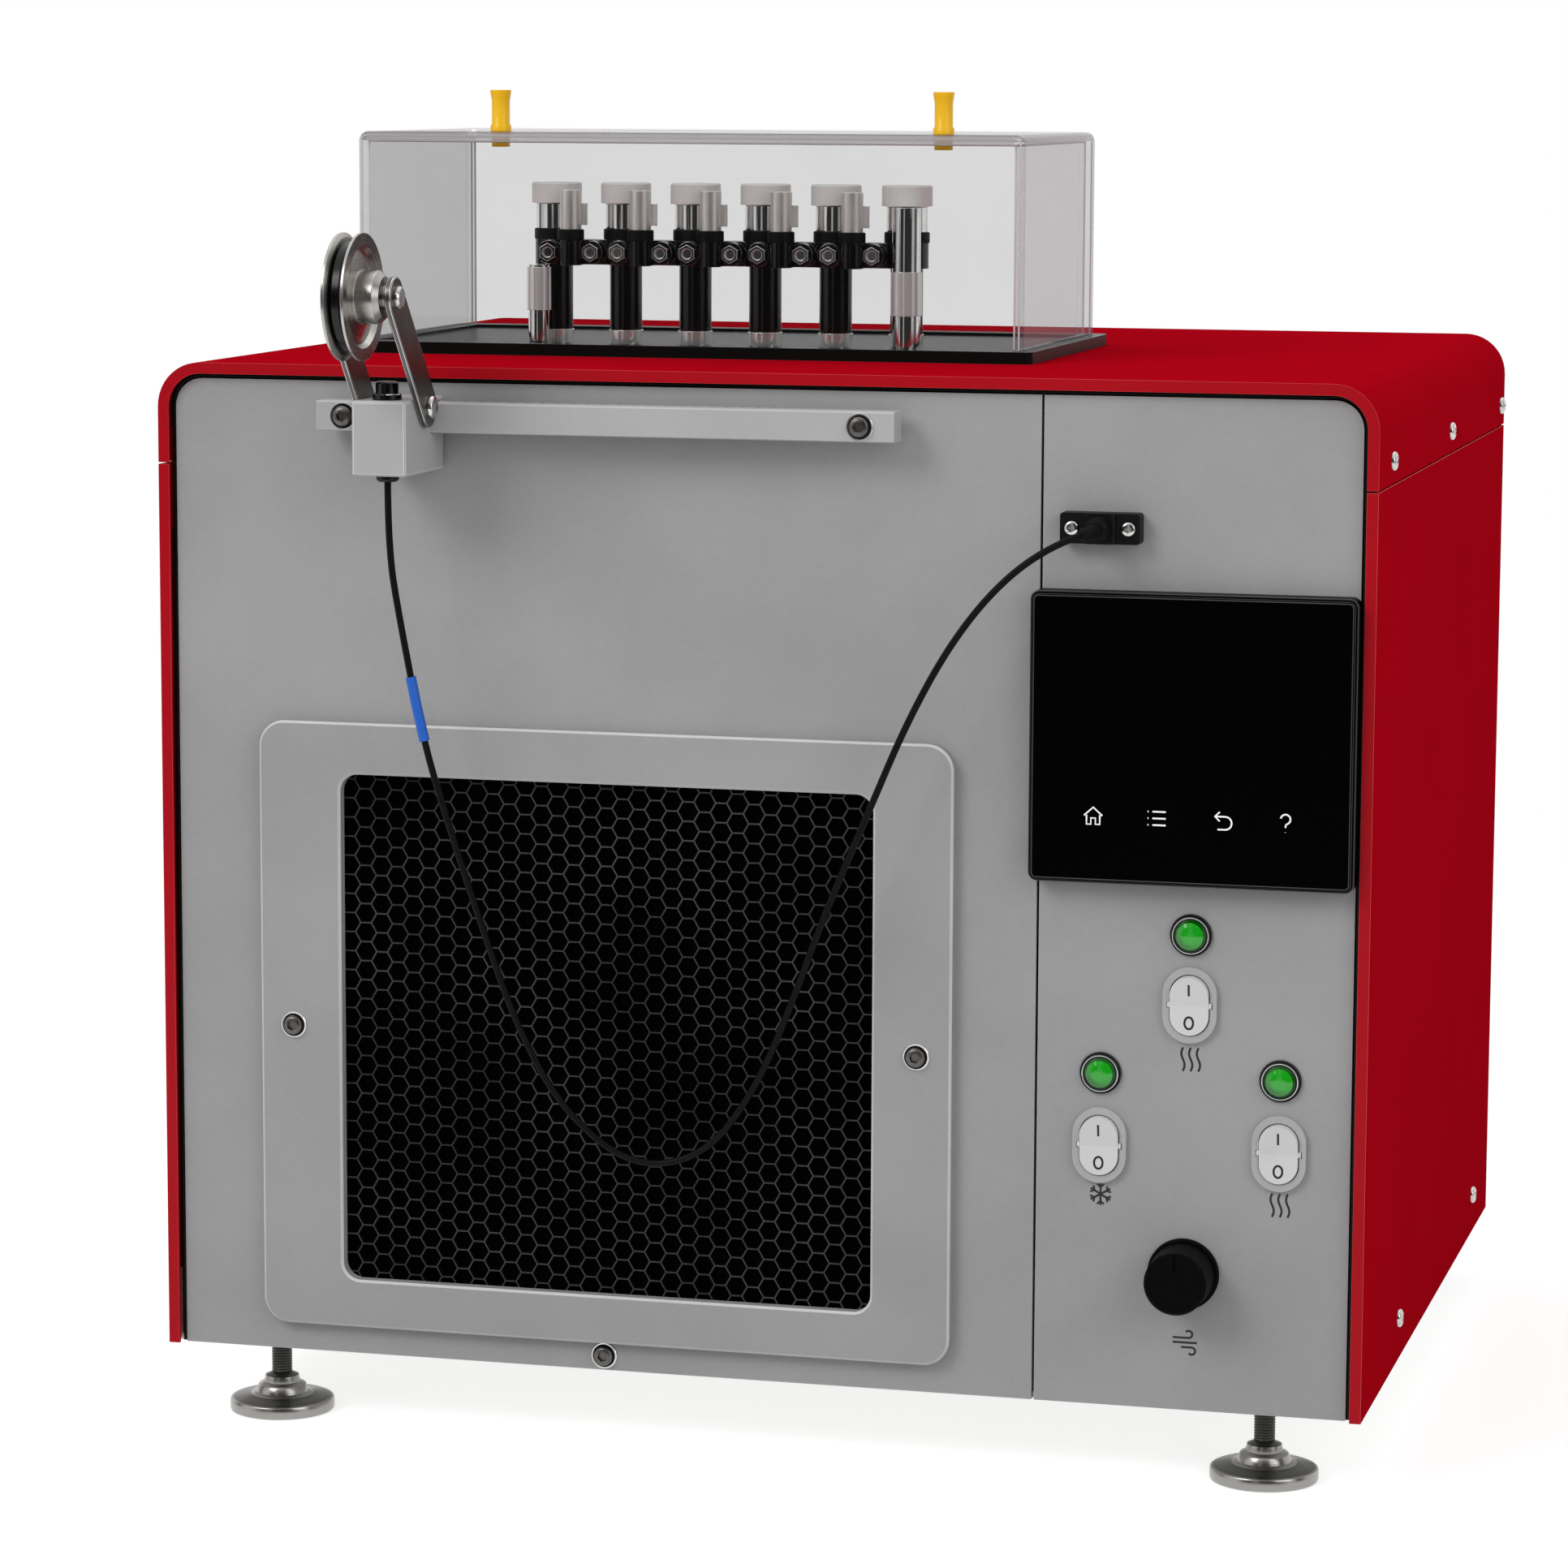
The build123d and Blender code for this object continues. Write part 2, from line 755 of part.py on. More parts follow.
def make_fan_housing():
    """Square fan frame on two feet, with the motor on three struts behind the rotor."""
    x, z = fan_centre()
    back = filter_back + fan_depth
    half = fan_size / 2
    sketch = rectangle(around(x, half), around(z, half), corner_radius)
    sketch -= Pos(x, z) * Circle(fan_bore_radius)
    housing = upright(sketch, (filter_back, back))
    for side in (-1, 1):
        foot_x = x + side * (half - fan_foot_width / 2)
        foot = around(foot_x, fan_foot_width / 2)
        housing += block(foot, (filter_back, back), (base_thickness, z - half + corner_radius))
    motor_front = back - fan_strut_depth
    housing += rod_y(fan_hub_radius, x, (motor_front, back), z)
    strut = Box(fan_strut_width, fan_bore_radius + 2, fan_strut_depth)
    strut = Pos(0, fan_bore_radius / 2 + 1, 0) * strut
    for turn in range(3):
        arm = facing_front(Rot(0, 0, 120 * turn) * strut)
        housing += place(x, back - fan_strut_depth / 2, z) * arm
    shaft_front = motor_front - running_gap - fan_rotor_depth
    housing += rod_y(fan_shaft_radius, x, (shaft_front, back), z)
    return housing


def make_fan_rotor():
    """Hub with twisted blades, bored for the motor shaft."""
    x, z = fan_centre()
    rotor = Cylinder(fan_hub_radius, fan_rotor_depth)
    tip = fan_bore_radius - fan_blade_tip_gap
    root = fan_hub_radius * 0.9
    ends = []
    for radius, pitch in ((root, fan_root_pitch), (tip, fan_tip_pitch)):
        plane = Plane(origin=(radius, 0, 0), x_dir=(0, 1, 0), z_dir=(1, 0, 0))
        chord = Rot(0, 0, pitch - 90) * Rectangle(fan_blade_thickness, fan_blade_chord * 0.75)
        ends.append(plane * chord)
    blade = loft(ends, ruled=True) & Cylinder(tip, fan_rotor_depth)
    for index in range(fan_blade_count):
        rotor += Rot(0, 0, index * 360 / fan_blade_count) * blade
    rotor -= Cylinder(fan_shaft_radius + shaft_clearance, fan_rotor_depth)
    back = filter_back + fan_depth - fan_strut_depth - running_gap
    return place(x, back - fan_rotor_depth / 2, z) * facing_front(rotor)


# ---------------------------------------------------------------- rail and carriage
def rail_screw_places():
    """Centres of the two rail screws."""
    z = rail_bottom + rail_height / 2
    last = rail_left + rail_length - rail_screw_right_inset
    return [(rail_left + rail_screw_left_inset, z), (last, z)]


def make_rail():
    """Square bar with fine notches along its upper rear edge."""
    rail = block(
        (rail_left, rail_left + rail_length), (rail_front, rail_back), (rail_bottom, rail_top)
    )
    rail = chamfer(rail.edges().filter_by(Axis.X), rail_chamfer)
    notched = rail_length - rail_notch_start - rail_notch_end
    for index in range(int(notched / rail_notch_pitch)):
        x = rail_left + rail_notch_start + index * rail_notch_pitch
        rail -= block(
            (x, x + rail_notch_width),
            (rail_back - rail_notch_reach, rail_back + 1),
            (rail_top - rail_notch_depth, rail_top + 1),
        )
    for x, z in rail_screw_places():
        reach = (rail_front - 1, rail_back + 1)
        rail -= rod_y(front_screw_radius + shaft_clearance, x, reach, z)
    return rail


def make_rail_spacers():
    """Two round spacers that hold the rail off the panel."""
    spacers = []
    for x, z in rail_screw_places():
        spacer = rod_y(spacer_radius, x, (rail_back, panel_recess), z)
        spacer -= rod_y(front_screw_radius + shaft_clearance, x, (rail_back, panel_recess), z)
        spacers.append(spacer)
    return group(spacers)


def make_carriage_block():
    """Block that slides on the rail, bored for the sensor and the pivot screws."""
    front = rail_front - carriage_front
    back = panel_recess - carriage_back_gap
    body = block((carriage_left, carriage_right), (front, back), (carriage_bottom, carriage_top))
    body = chamfer(body.edges(), carriage_chamfer)
    body -= block(
        (carriage_left - 1, carriage_right + 1),
        (rail_front - running_gap, rail_back + running_gap),
        (rail_bottom - running_gap, rail_top + running_gap),
    )
    bore = sensor_radius + shaft_clearance
    body -= rod_z(bore, sensor_x, sensor_y, (carriage_bottom - 1, carriage_top + 1))
    depth = pivot_screw_depth + shaft_clearance
    for x in ((carriage_left - 1, carriage_left + depth), (carriage_right - depth, carriage_right + 1)):
        body -= rod_x(pivot_screw_radius + shaft_clearance, x, pivot_y, pivot_z)
    return body


def arm_span(left):
    """The (low, high) pair of one fork arm along x."""
    if left:
        return (carriage_left - arm_gap - arm_thickness, carriage_left - arm_gap)
    return (carriage_right + arm_gap, carriage_right + arm_gap + arm_thickness)


def make_fork_arm(left):
    """Flat steel arm with round ends, from the carriage's side to the pulley axle."""
    low, high = arm_span(left)
    plane = Plane(origin=(0, 0, 0), x_dir=(0, 1, 0), z_dir=(1, 0, 0))
    outline = Pos(arm_length / 2, 0) * SlotOverall(arm_length + arm_width, arm_width)
    outline -= Circle(pivot_screw_radius + shaft_clearance)
    outline -= Pos(arm_length, 0) * Circle(axle_radius + shaft_clearance)
    leaned = Rot(0, 0, 90 + arm_lean) * outline
    arm = extrude(plane * leaned, high - low)
    rims = arm.faces().filter_by(Axis.X)
    longest = [edge for face in rims for edge in face.outer_wire().edges()]
    arm = chamfer(longest, arm_edge_chamfer)
    return place(low, pivot_y, pivot_z) * arm


def make_pivot_screws():
    """Shoulder screws that the arms tilt on."""
    profile = (
        (0, -pivot_screw_depth - arm_thickness - 2 * arm_gap),
        (pivot_screw_radius, -pivot_screw_depth - arm_thickness - 2 * arm_gap),
        (pivot_screw_radius, 0), (pivot_head_radius, 0),
        (pivot_head_radius, pivot_head_height * 0.5),
        (pivot_head_radius * 0.7, pivot_head_height), (0, pivot_head_height),
    )
    screw = turned(profile)
    left = arm_span(True)[0] - arm_gap
    right = arm_span(False)[1] + arm_gap
    screws = [place(left, pivot_y, pivot_z) * Rot(0, -90, 0) * screw]
    screws.append(place(right, pivot_y, pivot_z) * Rot(0, 90, 0) * screw)
    return group(screws)


def make_pulley_axle():
    """Riveted pin through both arms."""
    left = arm_span(True)[0]
    right = arm_span(False)[1]
    pin = rod_x(axle_radius, (left, right), axle_y, axle_z)
    for x in ((left - axle_head_height, left), (right, right + axle_head_height)):
        head = rod_x(axle_head_radius, x, axle_y, axle_z)
        outer = Axis.X if x[0] == right else -Axis.X
        rim = head.faces().sort_by(outer)[-1].edges()
        pin += chamfer(rim, axle_head_height * 0.4)
    return pin


def make_pulley():
    """Grooved wheel with a dished face and a long hub towards the right arm."""
    left = arm_span(True)[1] + pulley_left_gap
    right = arm_span(False)[0] - running_gap
    bore = axle_radius + shaft_clearance
    groove = pulley_radius - pulley_groove_depth
    rim_inner = pulley_radius - pulley_rim_depth
    rim_end = left + pulley_rim_width
    web_left = left + (pulley_rim_width - pulley_web_width) / 2
    web_right = web_left + pulley_web_width
    profile = (
        (bore, arm_span(True)[1] + running_gap),
        (axle_head_radius, arm_span(True)[1] + running_gap),
        (axle_head_radius + 2, web_left), (rim_inner, web_left), (rim_inner + 1.5, left),
        (pulley_radius, left), (pulley_radius, left + pulley_flange_width * 0.6),
        (groove, left + pulley_flange_width + 1.4),
        (groove, rim_end - pulley_flange_width - 1.4),
        (pulley_radius, rim_end - pulley_flange_width * 0.6), (pulley_radius, rim_end),
        (rim_inner + 1.5, rim_end), (rim_inner, web_right),
        (pulley_hub_radius, web_right + 1.8), (pulley_hub_radius, right - pulley_hub_chamfer - 2),
        (pulley_hub_radius - pulley_hub_chamfer, right - 2),
        (axle_head_radius, right - 2), (axle_head_radius, right), (bore, right),
    )
    return place(0, axle_y, axle_z) * Rot(0, 90, 0) * turned(profile)


def make_rotation_sensor():
    """Sensor barrel clamped upright in the block, with a collar at the top."""
    low = carriage_bottom - sensor_below_block
    high = carriage_top + sensor_above_block
    collar = carriage_top + sensor_collar_height
    profile = (
        (0, low), (sensor_radius - 1, low), (sensor_radius, low + 1),
        (sensor_radius, carriage_top), (sensor_collar_radius, carriage_top),
        (sensor_collar_radius, collar), (sensor_radius, collar),
        (sensor_radius, high - 0.8), (sensor_radius - 0.8, high), (0, high),
    )
    return place(sensor_x, sensor_y, 0) * turned(profile)


# ---------------------------------------------------------------- connector and cable
def connector_centre():
    """Centre of the connector on the panel."""
    return connector_left + connector_width / 2, connector_bottom + connector_height / 2


def connector_screw_places():
    """Centres of the two connector screws."""
    z = connector_centre()[1]
    right = connector_left + connector_width - connector_screw_inset
    return [(connector_left + connector_screw_inset, z), (right, z)]


def make_connector_housing():
    """Moulded socket housing with a raised middle round the plug."""
    x, z = connector_centre()
    front = panel_recess - connector_proud
    body = upright(
        rectangle(
            (connector_left, connector_left + connector_width),
            (connector_bottom, connector_bottom + connector_height), 1.6,
        ),
        (front, panel_recess),
    )
    half = connector_raise_width / 2
    raised = (z - connector_height / 2, z + connector_height / 2)
    body += block(around(x, half), (front - connector_raise, front), raised)
    socket = (front - connector_raise, front - connector_raise + plug_spigot_length + running_gap)
    body -= rod_y(plug_spigot_radius + shaft_clearance, x, socket, z)
    for screw_x, screw_z in connector_screw_places():
        hole = connector_screw_radius + shaft_clearance
        body -= rod_y(hole, screw_x, (front - 1, panel_recess + 1), screw_z)
    return body


def boot_frame():
    """Start point of the boot and the two directions that it bends between."""
    x, z = connector_centre()
    start = Vector(x, panel_recess - connector_proud - connector_raise - plug_length, z)
    droop = math.radians(boot_droop_angle)
    sideways = Vector(-math.cos(droop), 0, -math.sin(droop))
    return start, Vector(0, -1, 0), sideways


def boot_end():
    """Point where the cable leaves the boot, and its direction there."""
    start, forward, sideways = boot_frame()
    turn = math.radians(boot_bend_angle)
    along = forward * (boot_bend_radius * math.sin(turn))
    across = sideways * (boot_bend_radius * (1 - math.cos(turn)))
    return start + along + across, forward * math.cos(turn) + sideways * math.sin(turn)


def make_signal_plug():
    """Round ribbed plug with its moulded boot bent towards the cable."""
    length = plug_length
    groove = plug_radius - plug_rib_depth
    profile = [(0, -plug_spigot_length), (plug_spigot_radius, -plug_spigot_length),
               (plug_spigot_radius, 0), (plug_radius, 0)]
    for rib in range(3):
        height = (2 * rib + 1) * plug_rib_width
        profile += [(plug_radius, height), (groove, height)]
        profile += [(groove, height + plug_rib_width), (plug_radius, height + plug_rib_width)]
    profile += [(boot_radius + 0.6, length), (0, length)]
    x, z = connector_centre()
    seat = panel_recess - connector_proud - connector_raise
    plug = place(x, seat, z) * facing_front(turned(profile))
    start, forward, sideways = boot_frame()
    centre = start + sideways * boot_bend_radius
    section = Plane(origin=tuple(start), x_dir=tuple(sideways), z_dir=tuple(forward))
    ring = section * Circle(boot_radius)
    hinge_axis = Axis(tuple(centre), tuple(forward.cross(sideways)))
    boot = revolve(ring, hinge_axis, boot_bend_angle)
    return plug + place(0, 0, 0) * boot


def cable_route():
    """Points of the cable's route, from the sensor to the boot."""
    end, direction = boot_end()
    start = Vector(sensor_x, sensor_y, carriage_bottom - sensor_below_block)
    hanging = []
    for share, ahead, drop in cable_shape:
        hanging.append(tuple(start + (end - start) * share - Vector(0, ahead, drop)))
    straight_end = start - Vector(0, 0, cable_straight_drop)
    lead_in = end + direction * cable_lead_in
    return [tuple(start), tuple(straight_end), *hanging, tuple(lead_in), tuple(end)]


def route_radii(points):
    """Arc radius at each inner point: 0.45 of the shorter run, over tan of half the turn."""
    radii = []
    for before, here, after in zip(points, points[1:], points[2:]):
        incoming = Vector(*here) - Vector(*before)
        outgoing = Vector(*after) - Vector(*here)
        shorter = min(incoming.length, outgoing.length)
        half_turn = math.radians(incoming.get_angle(outgoing)) / 2
        radii.append(0.45 * shorter / math.tan(half_turn))
    return radii


def make_signal_cable():
    """Round cable along its route of straight runs and tangent arcs."""
    points = cable_route()
    radii = route_radii(points)
    path = FilletPolyline(*points, radius=radii)
    start = Vector(*points[0])
    heading = Vector(*points[1]) - start
    section = Plane(origin=tuple(start), z_dir=tuple(heading)) * Circle(cable_radius)
    cable = sweep(section, path=path)
    expected = math.pi * cable_radius ** 2 * path.length
    print("cable radii", [round(radius) for radius in radii])
    print("cable length", round(path.length, 1), "volume ratio", round(cable.volume / expected, 4))
    return place(0, 0, 0) * cable


def make_cable_sleeve():
    """Coloured marker sleeve round the middle of one long run of the cable."""
    points = cable_route()
    low = Vector(*points[runs_above_sleeve_count])
    high = Vector(*points[runs_above_sleeve_count + 1])
    centre = (low + high) * 0.5
    ring = Circle(sleeve_radius) - Circle(cable_radius + sleeve_clearance)
    section = Plane(origin=tuple(centre), z_dir=tuple(high - low)) * ring
    return place(0, 0, 0) * extrude(section, sleeve_length / 2, both=True)


# ---------------------------------------------------------------- display
def display_body_span(margin):
    """Spans in x and z of the display's body behind the panel."""
    inset = display_body_inset - margin
    x = (display_left + inset, display_left + display_width - inset)
    z = (display_bottom + inset, display_bottom + display_height - inset)
    return x, z


def make_display_housing():
    """Shallow front case of the display and its body through the panel."""
    x = (display_left, display_left + display_width)
    z = (display_bottom, display_bottom + display_height)
    front = panel_recess - display_proud + display_glass_thickness
    housing = upright(rectangle(x, z, display_corner_radius), (front, panel_recess))
    body_x, body_z = display_body_span(0)
    housing += block(body_x, (panel_recess, panel_recess + display_body_depth), body_z)
    return housing


def make_display_glass():
    """Black cover glass with a bevelled edge."""
    x = (display_left + display_bezel, display_left + display_width - display_bezel)
    z = (display_bottom + display_bezel, display_bottom + display_height - display_bezel)
    front = panel_recess - display_proud
    glass = upright(
        rectangle(x, z, display_corner_radius - display_bezel),
        (front, front + display_glass_thickness),
    )
    rim = glass.faces().sort_by(Axis.Y)[0].edges()
    return chamfer(rim, display_glass_thickness * 0.4)


# ---------------------------------------------------------------- lamps, switches, knob
def make_lamp_bezels():
    """Round bezels with their bodies through the panel."""
    inner = lamp_lens_radius + fit_clearance / 2
    profile = (
        (0, -lamp_body_depth), (lamp_body_radius, -lamp_body_depth), (lamp_body_radius, 0),
        (lamp_bezel_radius, 0), (lamp_bezel_radius, lamp_bezel_height * 0.5),
        (lamp_bezel_radius - 1.2, lamp_bezel_height), (inner, lamp_bezel_height),
        (inner, 0), (0, 0),
    )
    bezel = turned(profile)
    return group([place(x, panel_recess, z) * facing_front(bezel) for x, z in lamp_places])


def make_lamp_lenses():
    """Domed lenses in the bezels."""
    dome = lamp_bezel_height + lamp_dome_height
    profile = (
        (0, 0), (lamp_lens_radius, 0), (lamp_lens_radius, lamp_bezel_height),
        (lamp_lens_radius * 0.85, lamp_bezel_height + lamp_dome_height * 0.55),
        (lamp_lens_radius * 0.5, lamp_bezel_height + lamp_dome_height * 0.9), (0, dome),
    )
    lens = turned(profile)
    return group([place(x, panel_recess, z) * facing_front(lens) for x, z in lamp_places])


def rocker_pivot_y():
    """Depth of the rockers' pivots."""
    return panel_recess - switch_bezel_proud + rocker_pivot_behind


def make_switch_bezels():
    """Oval bezels with hollow bodies through the panel and holes for the pivot pins."""
    bezels = []
    opening = oval(rocker_width + 2 * rocker_gap, rocker_height + 2 * rocker_gap)
    for x, z in switch_places.values():
        front = panel_recess - switch_bezel_proud
        rim = Pos(x, z) * (oval(switch_bezel_width, switch_bezel_height) - opening)
        barrel = Pos(x, z) * (oval(switch_body_width, switch_body_height) - opening)
        bezel = upright(rim, (front, panel_recess))
        bezel += upright(barrel, (panel_recess, panel_recess + switch_body_depth))
        reach = rocker_width / 2 + rocker_pin_length + running_gap
        pin_hole = rocker_pin_radius + shaft_clearance
        bezel -= rod_x(pin_hole, around(x, reach), rocker_pivot_y(), z)
        bezels.append(bezel)
    return group(bezels)


def make_rocker(x, z):
    """Rocker with two faces at a shallow angle, round ends and two pivot pins."""
    half = rectangle((-rocker_width, rocker_width), (0, rocker_height))
    half = half & oval(rocker_width, rocker_height)
    barrel = revolve(half, Axis.X)
    tilt = math.tan(math.radians(rocker_half_angle))
    reach = rocker_height
    side = Polyline(
        (-rocker_crown, 0), (-rocker_crown - reach * tilt, reach), (rocker_back, reach),
        (rocker_back, -reach), (-rocker_crown - reach * tilt, -reach), close=True,
    )
    plane = Plane(origin=(-rocker_width, 0, 0), x_dir=(0, 1, 0), z_dir=(1, 0, 0))
    wedge = extrude(plane * make_face(side), 2 * rocker_width)
    rocker = barrel & wedge
    length = rocker_width + 2 * rocker_pin_length
    rocker += Rot(0, 90, 0) * Cylinder(rocker_pin_radius, length)
    rocker = Rot(rocker_half_angle, 0, 0) * rocker
    return place(x, rocker_pivot_y(), z) * rocker


def make_knob():
    """Round control knob with a skirt, a pointer groove and its shaft."""
    seat = running_gap
    profile = (
        (0, -knob_shaft_length), (knob_shaft_radius, -knob_shaft_length),
        (knob_shaft_radius, seat), (knob_skirt_radius, seat),
        (knob_skirt_radius, knob_skirt_height - 0.6),
        (knob_skirt_radius - 0.8, knob_skirt_height), (knob_body_radius, knob_skirt_height),
        (knob_front_radius, knob_height - knob_edge), (knob_front_radius - knob_edge, knob_height),
        (0, knob_height),
    )
    knob = turned(profile)
    groove = Box(knob_pointer_width, knob_front_radius * 0.6, 2 * knob_pointer_depth)
    knob -= Pos(0, knob_front_radius * 0.7, knob_height) * groove
    return place(knob_x, panel_recess, knob_z) * facing_front(knob)


# ---------------------------------------------------------------- tray and clear cover
def make_cell_tray():
    """Black tray under the cover, with a shallow recess and the spindle holes."""
    x = (cover_left - tray_margin, cover_left + cover_width + tray_margin)
    y = (cover_front - tray_margin, cover_front + cover_depth + tray_margin)
    tray = level(rectangle(x, y, tray_corner_radius), (case_height, tray_top))
    inset = cover_wall + tray_ledge
    tray -= block(
        (cover_left + inset, cover_left + cover_width - inset),
        (cover_front + inset, cover_front + cover_depth - inset),
        (tray_floor, tray_top + 1),
    )
    for cell_x in cell_places:
        tray -= rod_z(spindle_bore_radius, cell_x, cell_y, (case_height - 1, tray_top + 1))
    return tray


def port_places():
    """Centres of the two ports in the top of the cover."""
    first = cover_left + port_left_inset
    y = cover_front + port_behind_front
    return [(first, y), (first + port_spacing, y)]


def make_clear_cover():
    """Clear box of five bonded panes: roof with two port holes, front, rear and sides."""
    x = (cover_left, cover_left + cover_width)
    y = (cover_front, cover_front + cover_depth)
    z = (tray_top, tray_top + cover_height)
    outer = block(x, y, z)
    rounded = outer.edges().filter_by(Axis.Z) + outer.faces().sort_by(Axis.Z)[-1].edges()
    outer = fillet(rounded, cover_edge_radius)
    left, right = (x[0], x[0] + cover_wall), (x[1] - cover_wall, x[1])
    front, rear = (y[0], y[0] + cover_wall), (y[1] - cover_wall, y[1])
    under_roof = (z[0], z[1] - cover_wall)
    roof = outer & block(x, y, (under_roof[1], z[1]))
    for port_x, port_y in port_places():
        hole = port_waist_radius + shaft_clearance
        roof -= rod_z(hole, port_x, port_y, (under_roof[1] - 1, z[1] + 1))
    panes = [roof]
    panes += [outer & block(x, span, under_roof) for span in (front, rear)]
    panes += [outer & block(span, (front[1], rear[0]), under_roof) for span in (left, right)]
    return group(panes)


def make_port_tubes():
    """Flared hollow ports seated in the top of the cover."""
    top = tray_top + cover_height
    low = top - cover_wall - port_below
    high = top + port_above
    profile = (
        (port_bore_radius, low), (port_waist_radius, low), (port_waist_radius, top),
        (port_rim_radius, top), (port_rim_radius, top + port_flange_height * 0.7),
        (port_waist_radius, top + port_flange_height), (port_waist_radius, high - port_lip_height),
        (port_rim_radius, high - port_edge), (port_rim_radius, high), (port_bore_radius, high),
    )
    tube = turned(profile)
    return group([place(x, y, 0) * tube for x, y in port_places()])


# ---------------------------------------------------------------- cells
def tube_between(outer, inner, x, y, z):
    """Hollow upright tube."""
    return rod_z(outer, x, y, z) - rod_z(inner, x, y, z)


def guide_tube_places():
    """Centre, radius and top of the two plain guide tubes, at the first and last cells."""
    places = []
    tops = (clamp_z[0], upper_top_z)
    keep_clear = (cell_ring_radius, upper_tube_radius)
    for index, offset in zip((0, cell_count - 1), guide_tube_offsets_x):
        end = 0 if index == 0 else 1
        radius = guide_tube_radii[end]
        distance = keep_clear[end] + radius + guide_tube_gap
        y = cell_y - math.sqrt(distance ** 2 - offset ** 2)
        places.append((cell_places[index] + offset, y, radius, tops[end]))
    return places


def make_cell_base_rings():
    """Bright rings that the black tubes stand in."""
    z = (tray_floor, tray_floor + cell_ring_height)
    rings = [tube_between(cell_ring_radius, spindle_bore_radius, x, cell_y, z) for x in cell_places]
    return group(rings)


def make_cell_lower_tubes():
    """Black tubes between the base rings and the clamp bar."""
    z = (tray_floor + cell_ring_height, clamp_z[0])
    tubes = [tube_between(cell_tube_radius, spindle_bore_radius, x, cell_y, z) for x in cell_places]
    return group(tubes)


def fitting_places():
    """Centre and front seat of each clamp fitting: five in front, five to the left."""
    z = middle(clamp_z)
    front = cell_y - clamp_ring_radius - fitting_boss_reach / 2
    places = [(x, front, z) for x in cell_places[:-1]]
    places += [(x - fitting_left_offset, front, z) for x in cell_places[1:]]
    return places


def make_clamp_bar():
    """Bar with a ring at each cell, a lobe under each side tube and the fittings' bosses."""
    x = (cell_places[0] - clamp_bar_end, cell_places[-1] + clamp_bar_end)
    sketch = rectangle(x, around(cell_y, clamp_bar_depth / 2))
    for index, cell_x in enumerate(cell_places):
        sketch += Pos(cell_x, cell_y) * Circle(clamp_ring_radius)
        if index < cell_count - 1:
            lobe = Pos(cell_x + side_tube_offset_x, cell_y - side_tube_offset_y)
            sketch += lobe * Circle(side_tube_radius)
            link = rectangle(
                around(cell_x + side_tube_offset_x, side_tube_radius * 0.8),
                (cell_y - side_tube_offset_y, cell_y),
            )
            sketch += link
    for cell_x in cell_places:
        sketch -= Pos(cell_x, cell_y) * Circle(spindle_bore_radius)
    bar = level(sketch, clamp_z)
    for x_place, front, z in fitting_places():
        bar += rod_y(fitting_boss_radius, x_place, (front, cell_y - spindle_bore_radius - 1), z)
    guide_x, guide_y, radius, _ = guide_tube_places()[1]
    bar -= rod_z(radius + fit_clearance, guide_x, guide_y, clamp_z)
    return bar


def make_clamp_fittings():
    """Bright six-sided fittings with sockets, screwed into the bosses."""
    nut = extrude(Rot(0, 0, 30) * RegularPolygon(fitting_across, 6), fitting_length)
    socket = extrude(Circle(fitting_socket_radius), fitting_socket_depth)
    nut -= Pos(0, 0, fitting_length - fitting_socket_depth) * socket
    return group([place(x, y, z) * facing_front(nut) for x, y, z in fitting_places()])


def make_cell_upper_tubes():
    """Bright upper tubes that stand on the boots and carry the caps."""
    z = (clamp_z[1] + boot_ring_height, upper_top_z)
    tubes = [tube_between(upper_tube_radius, spindle_bore_radius, x, cell_y, z) for x in cell_places]
    return group(tubes)


def side_tube_places():
    """Centres of the side tubes of the first five cells."""
    return [(x + side_tube_offset_x, cell_y - side_tube_offset_y) for x in cell_places[:-1]]


def make_cell_boots():
    """Rubber rings under the upper tubes and the side tubes."""
    z = (clamp_z[1], clamp_z[1] + boot_ring_height)
    rings = []
    for index, x in enumerate(cell_places):
        ring = tube_between(boot_ring_radius, spindle_bore_radius, x, cell_y, z)
        if index == cell_count - 1:
            guide_x, guide_y, radius, _ = guide_tube_places()[1]
            ring -= rod_z(radius + fit_clearance, guide_x, guide_y, z)
        rings.append(ring)
    rings += [rod_z(side_boot_radius, x, y, z) for x, y in side_tube_places()]
    return group(rings)


def make_side_tubes():
    """Closed side tubes, each with a small upright flag."""
    tubes = []
    z = (clamp_z[1] + boot_ring_height, tray_floor + side_tube_top)
    for x, y in side_tube_places():
        tube = rod_z(side_tube_radius, x, y, z)
        flag_top = z[1] - flag_drop
        tube += block(
            (x, x + side_tube_radius + flag_width), around(y, flag_thickness / 2),
            (flag_top - flag_height, flag_top),
        )
        tubes.append(tube)
    return group(tubes)


def make_guide_tubes():
    """Plain bright guide tubes at the first and the last cell, each with a thin band."""
    low = tray_floor + sleeve_band_low
    parts = []
    for x, y, radius, top in guide_tube_places():
        parts.append(rod_z(radius, x, y, (tray_floor, top)))
        inner = radius + sleeve_band_clearance
        band_z = (low, low + sleeve_band_height)
        parts.append(tube_between(inner + sleeve_band_thickness, inner, x, y, band_z))
    return group(parts)


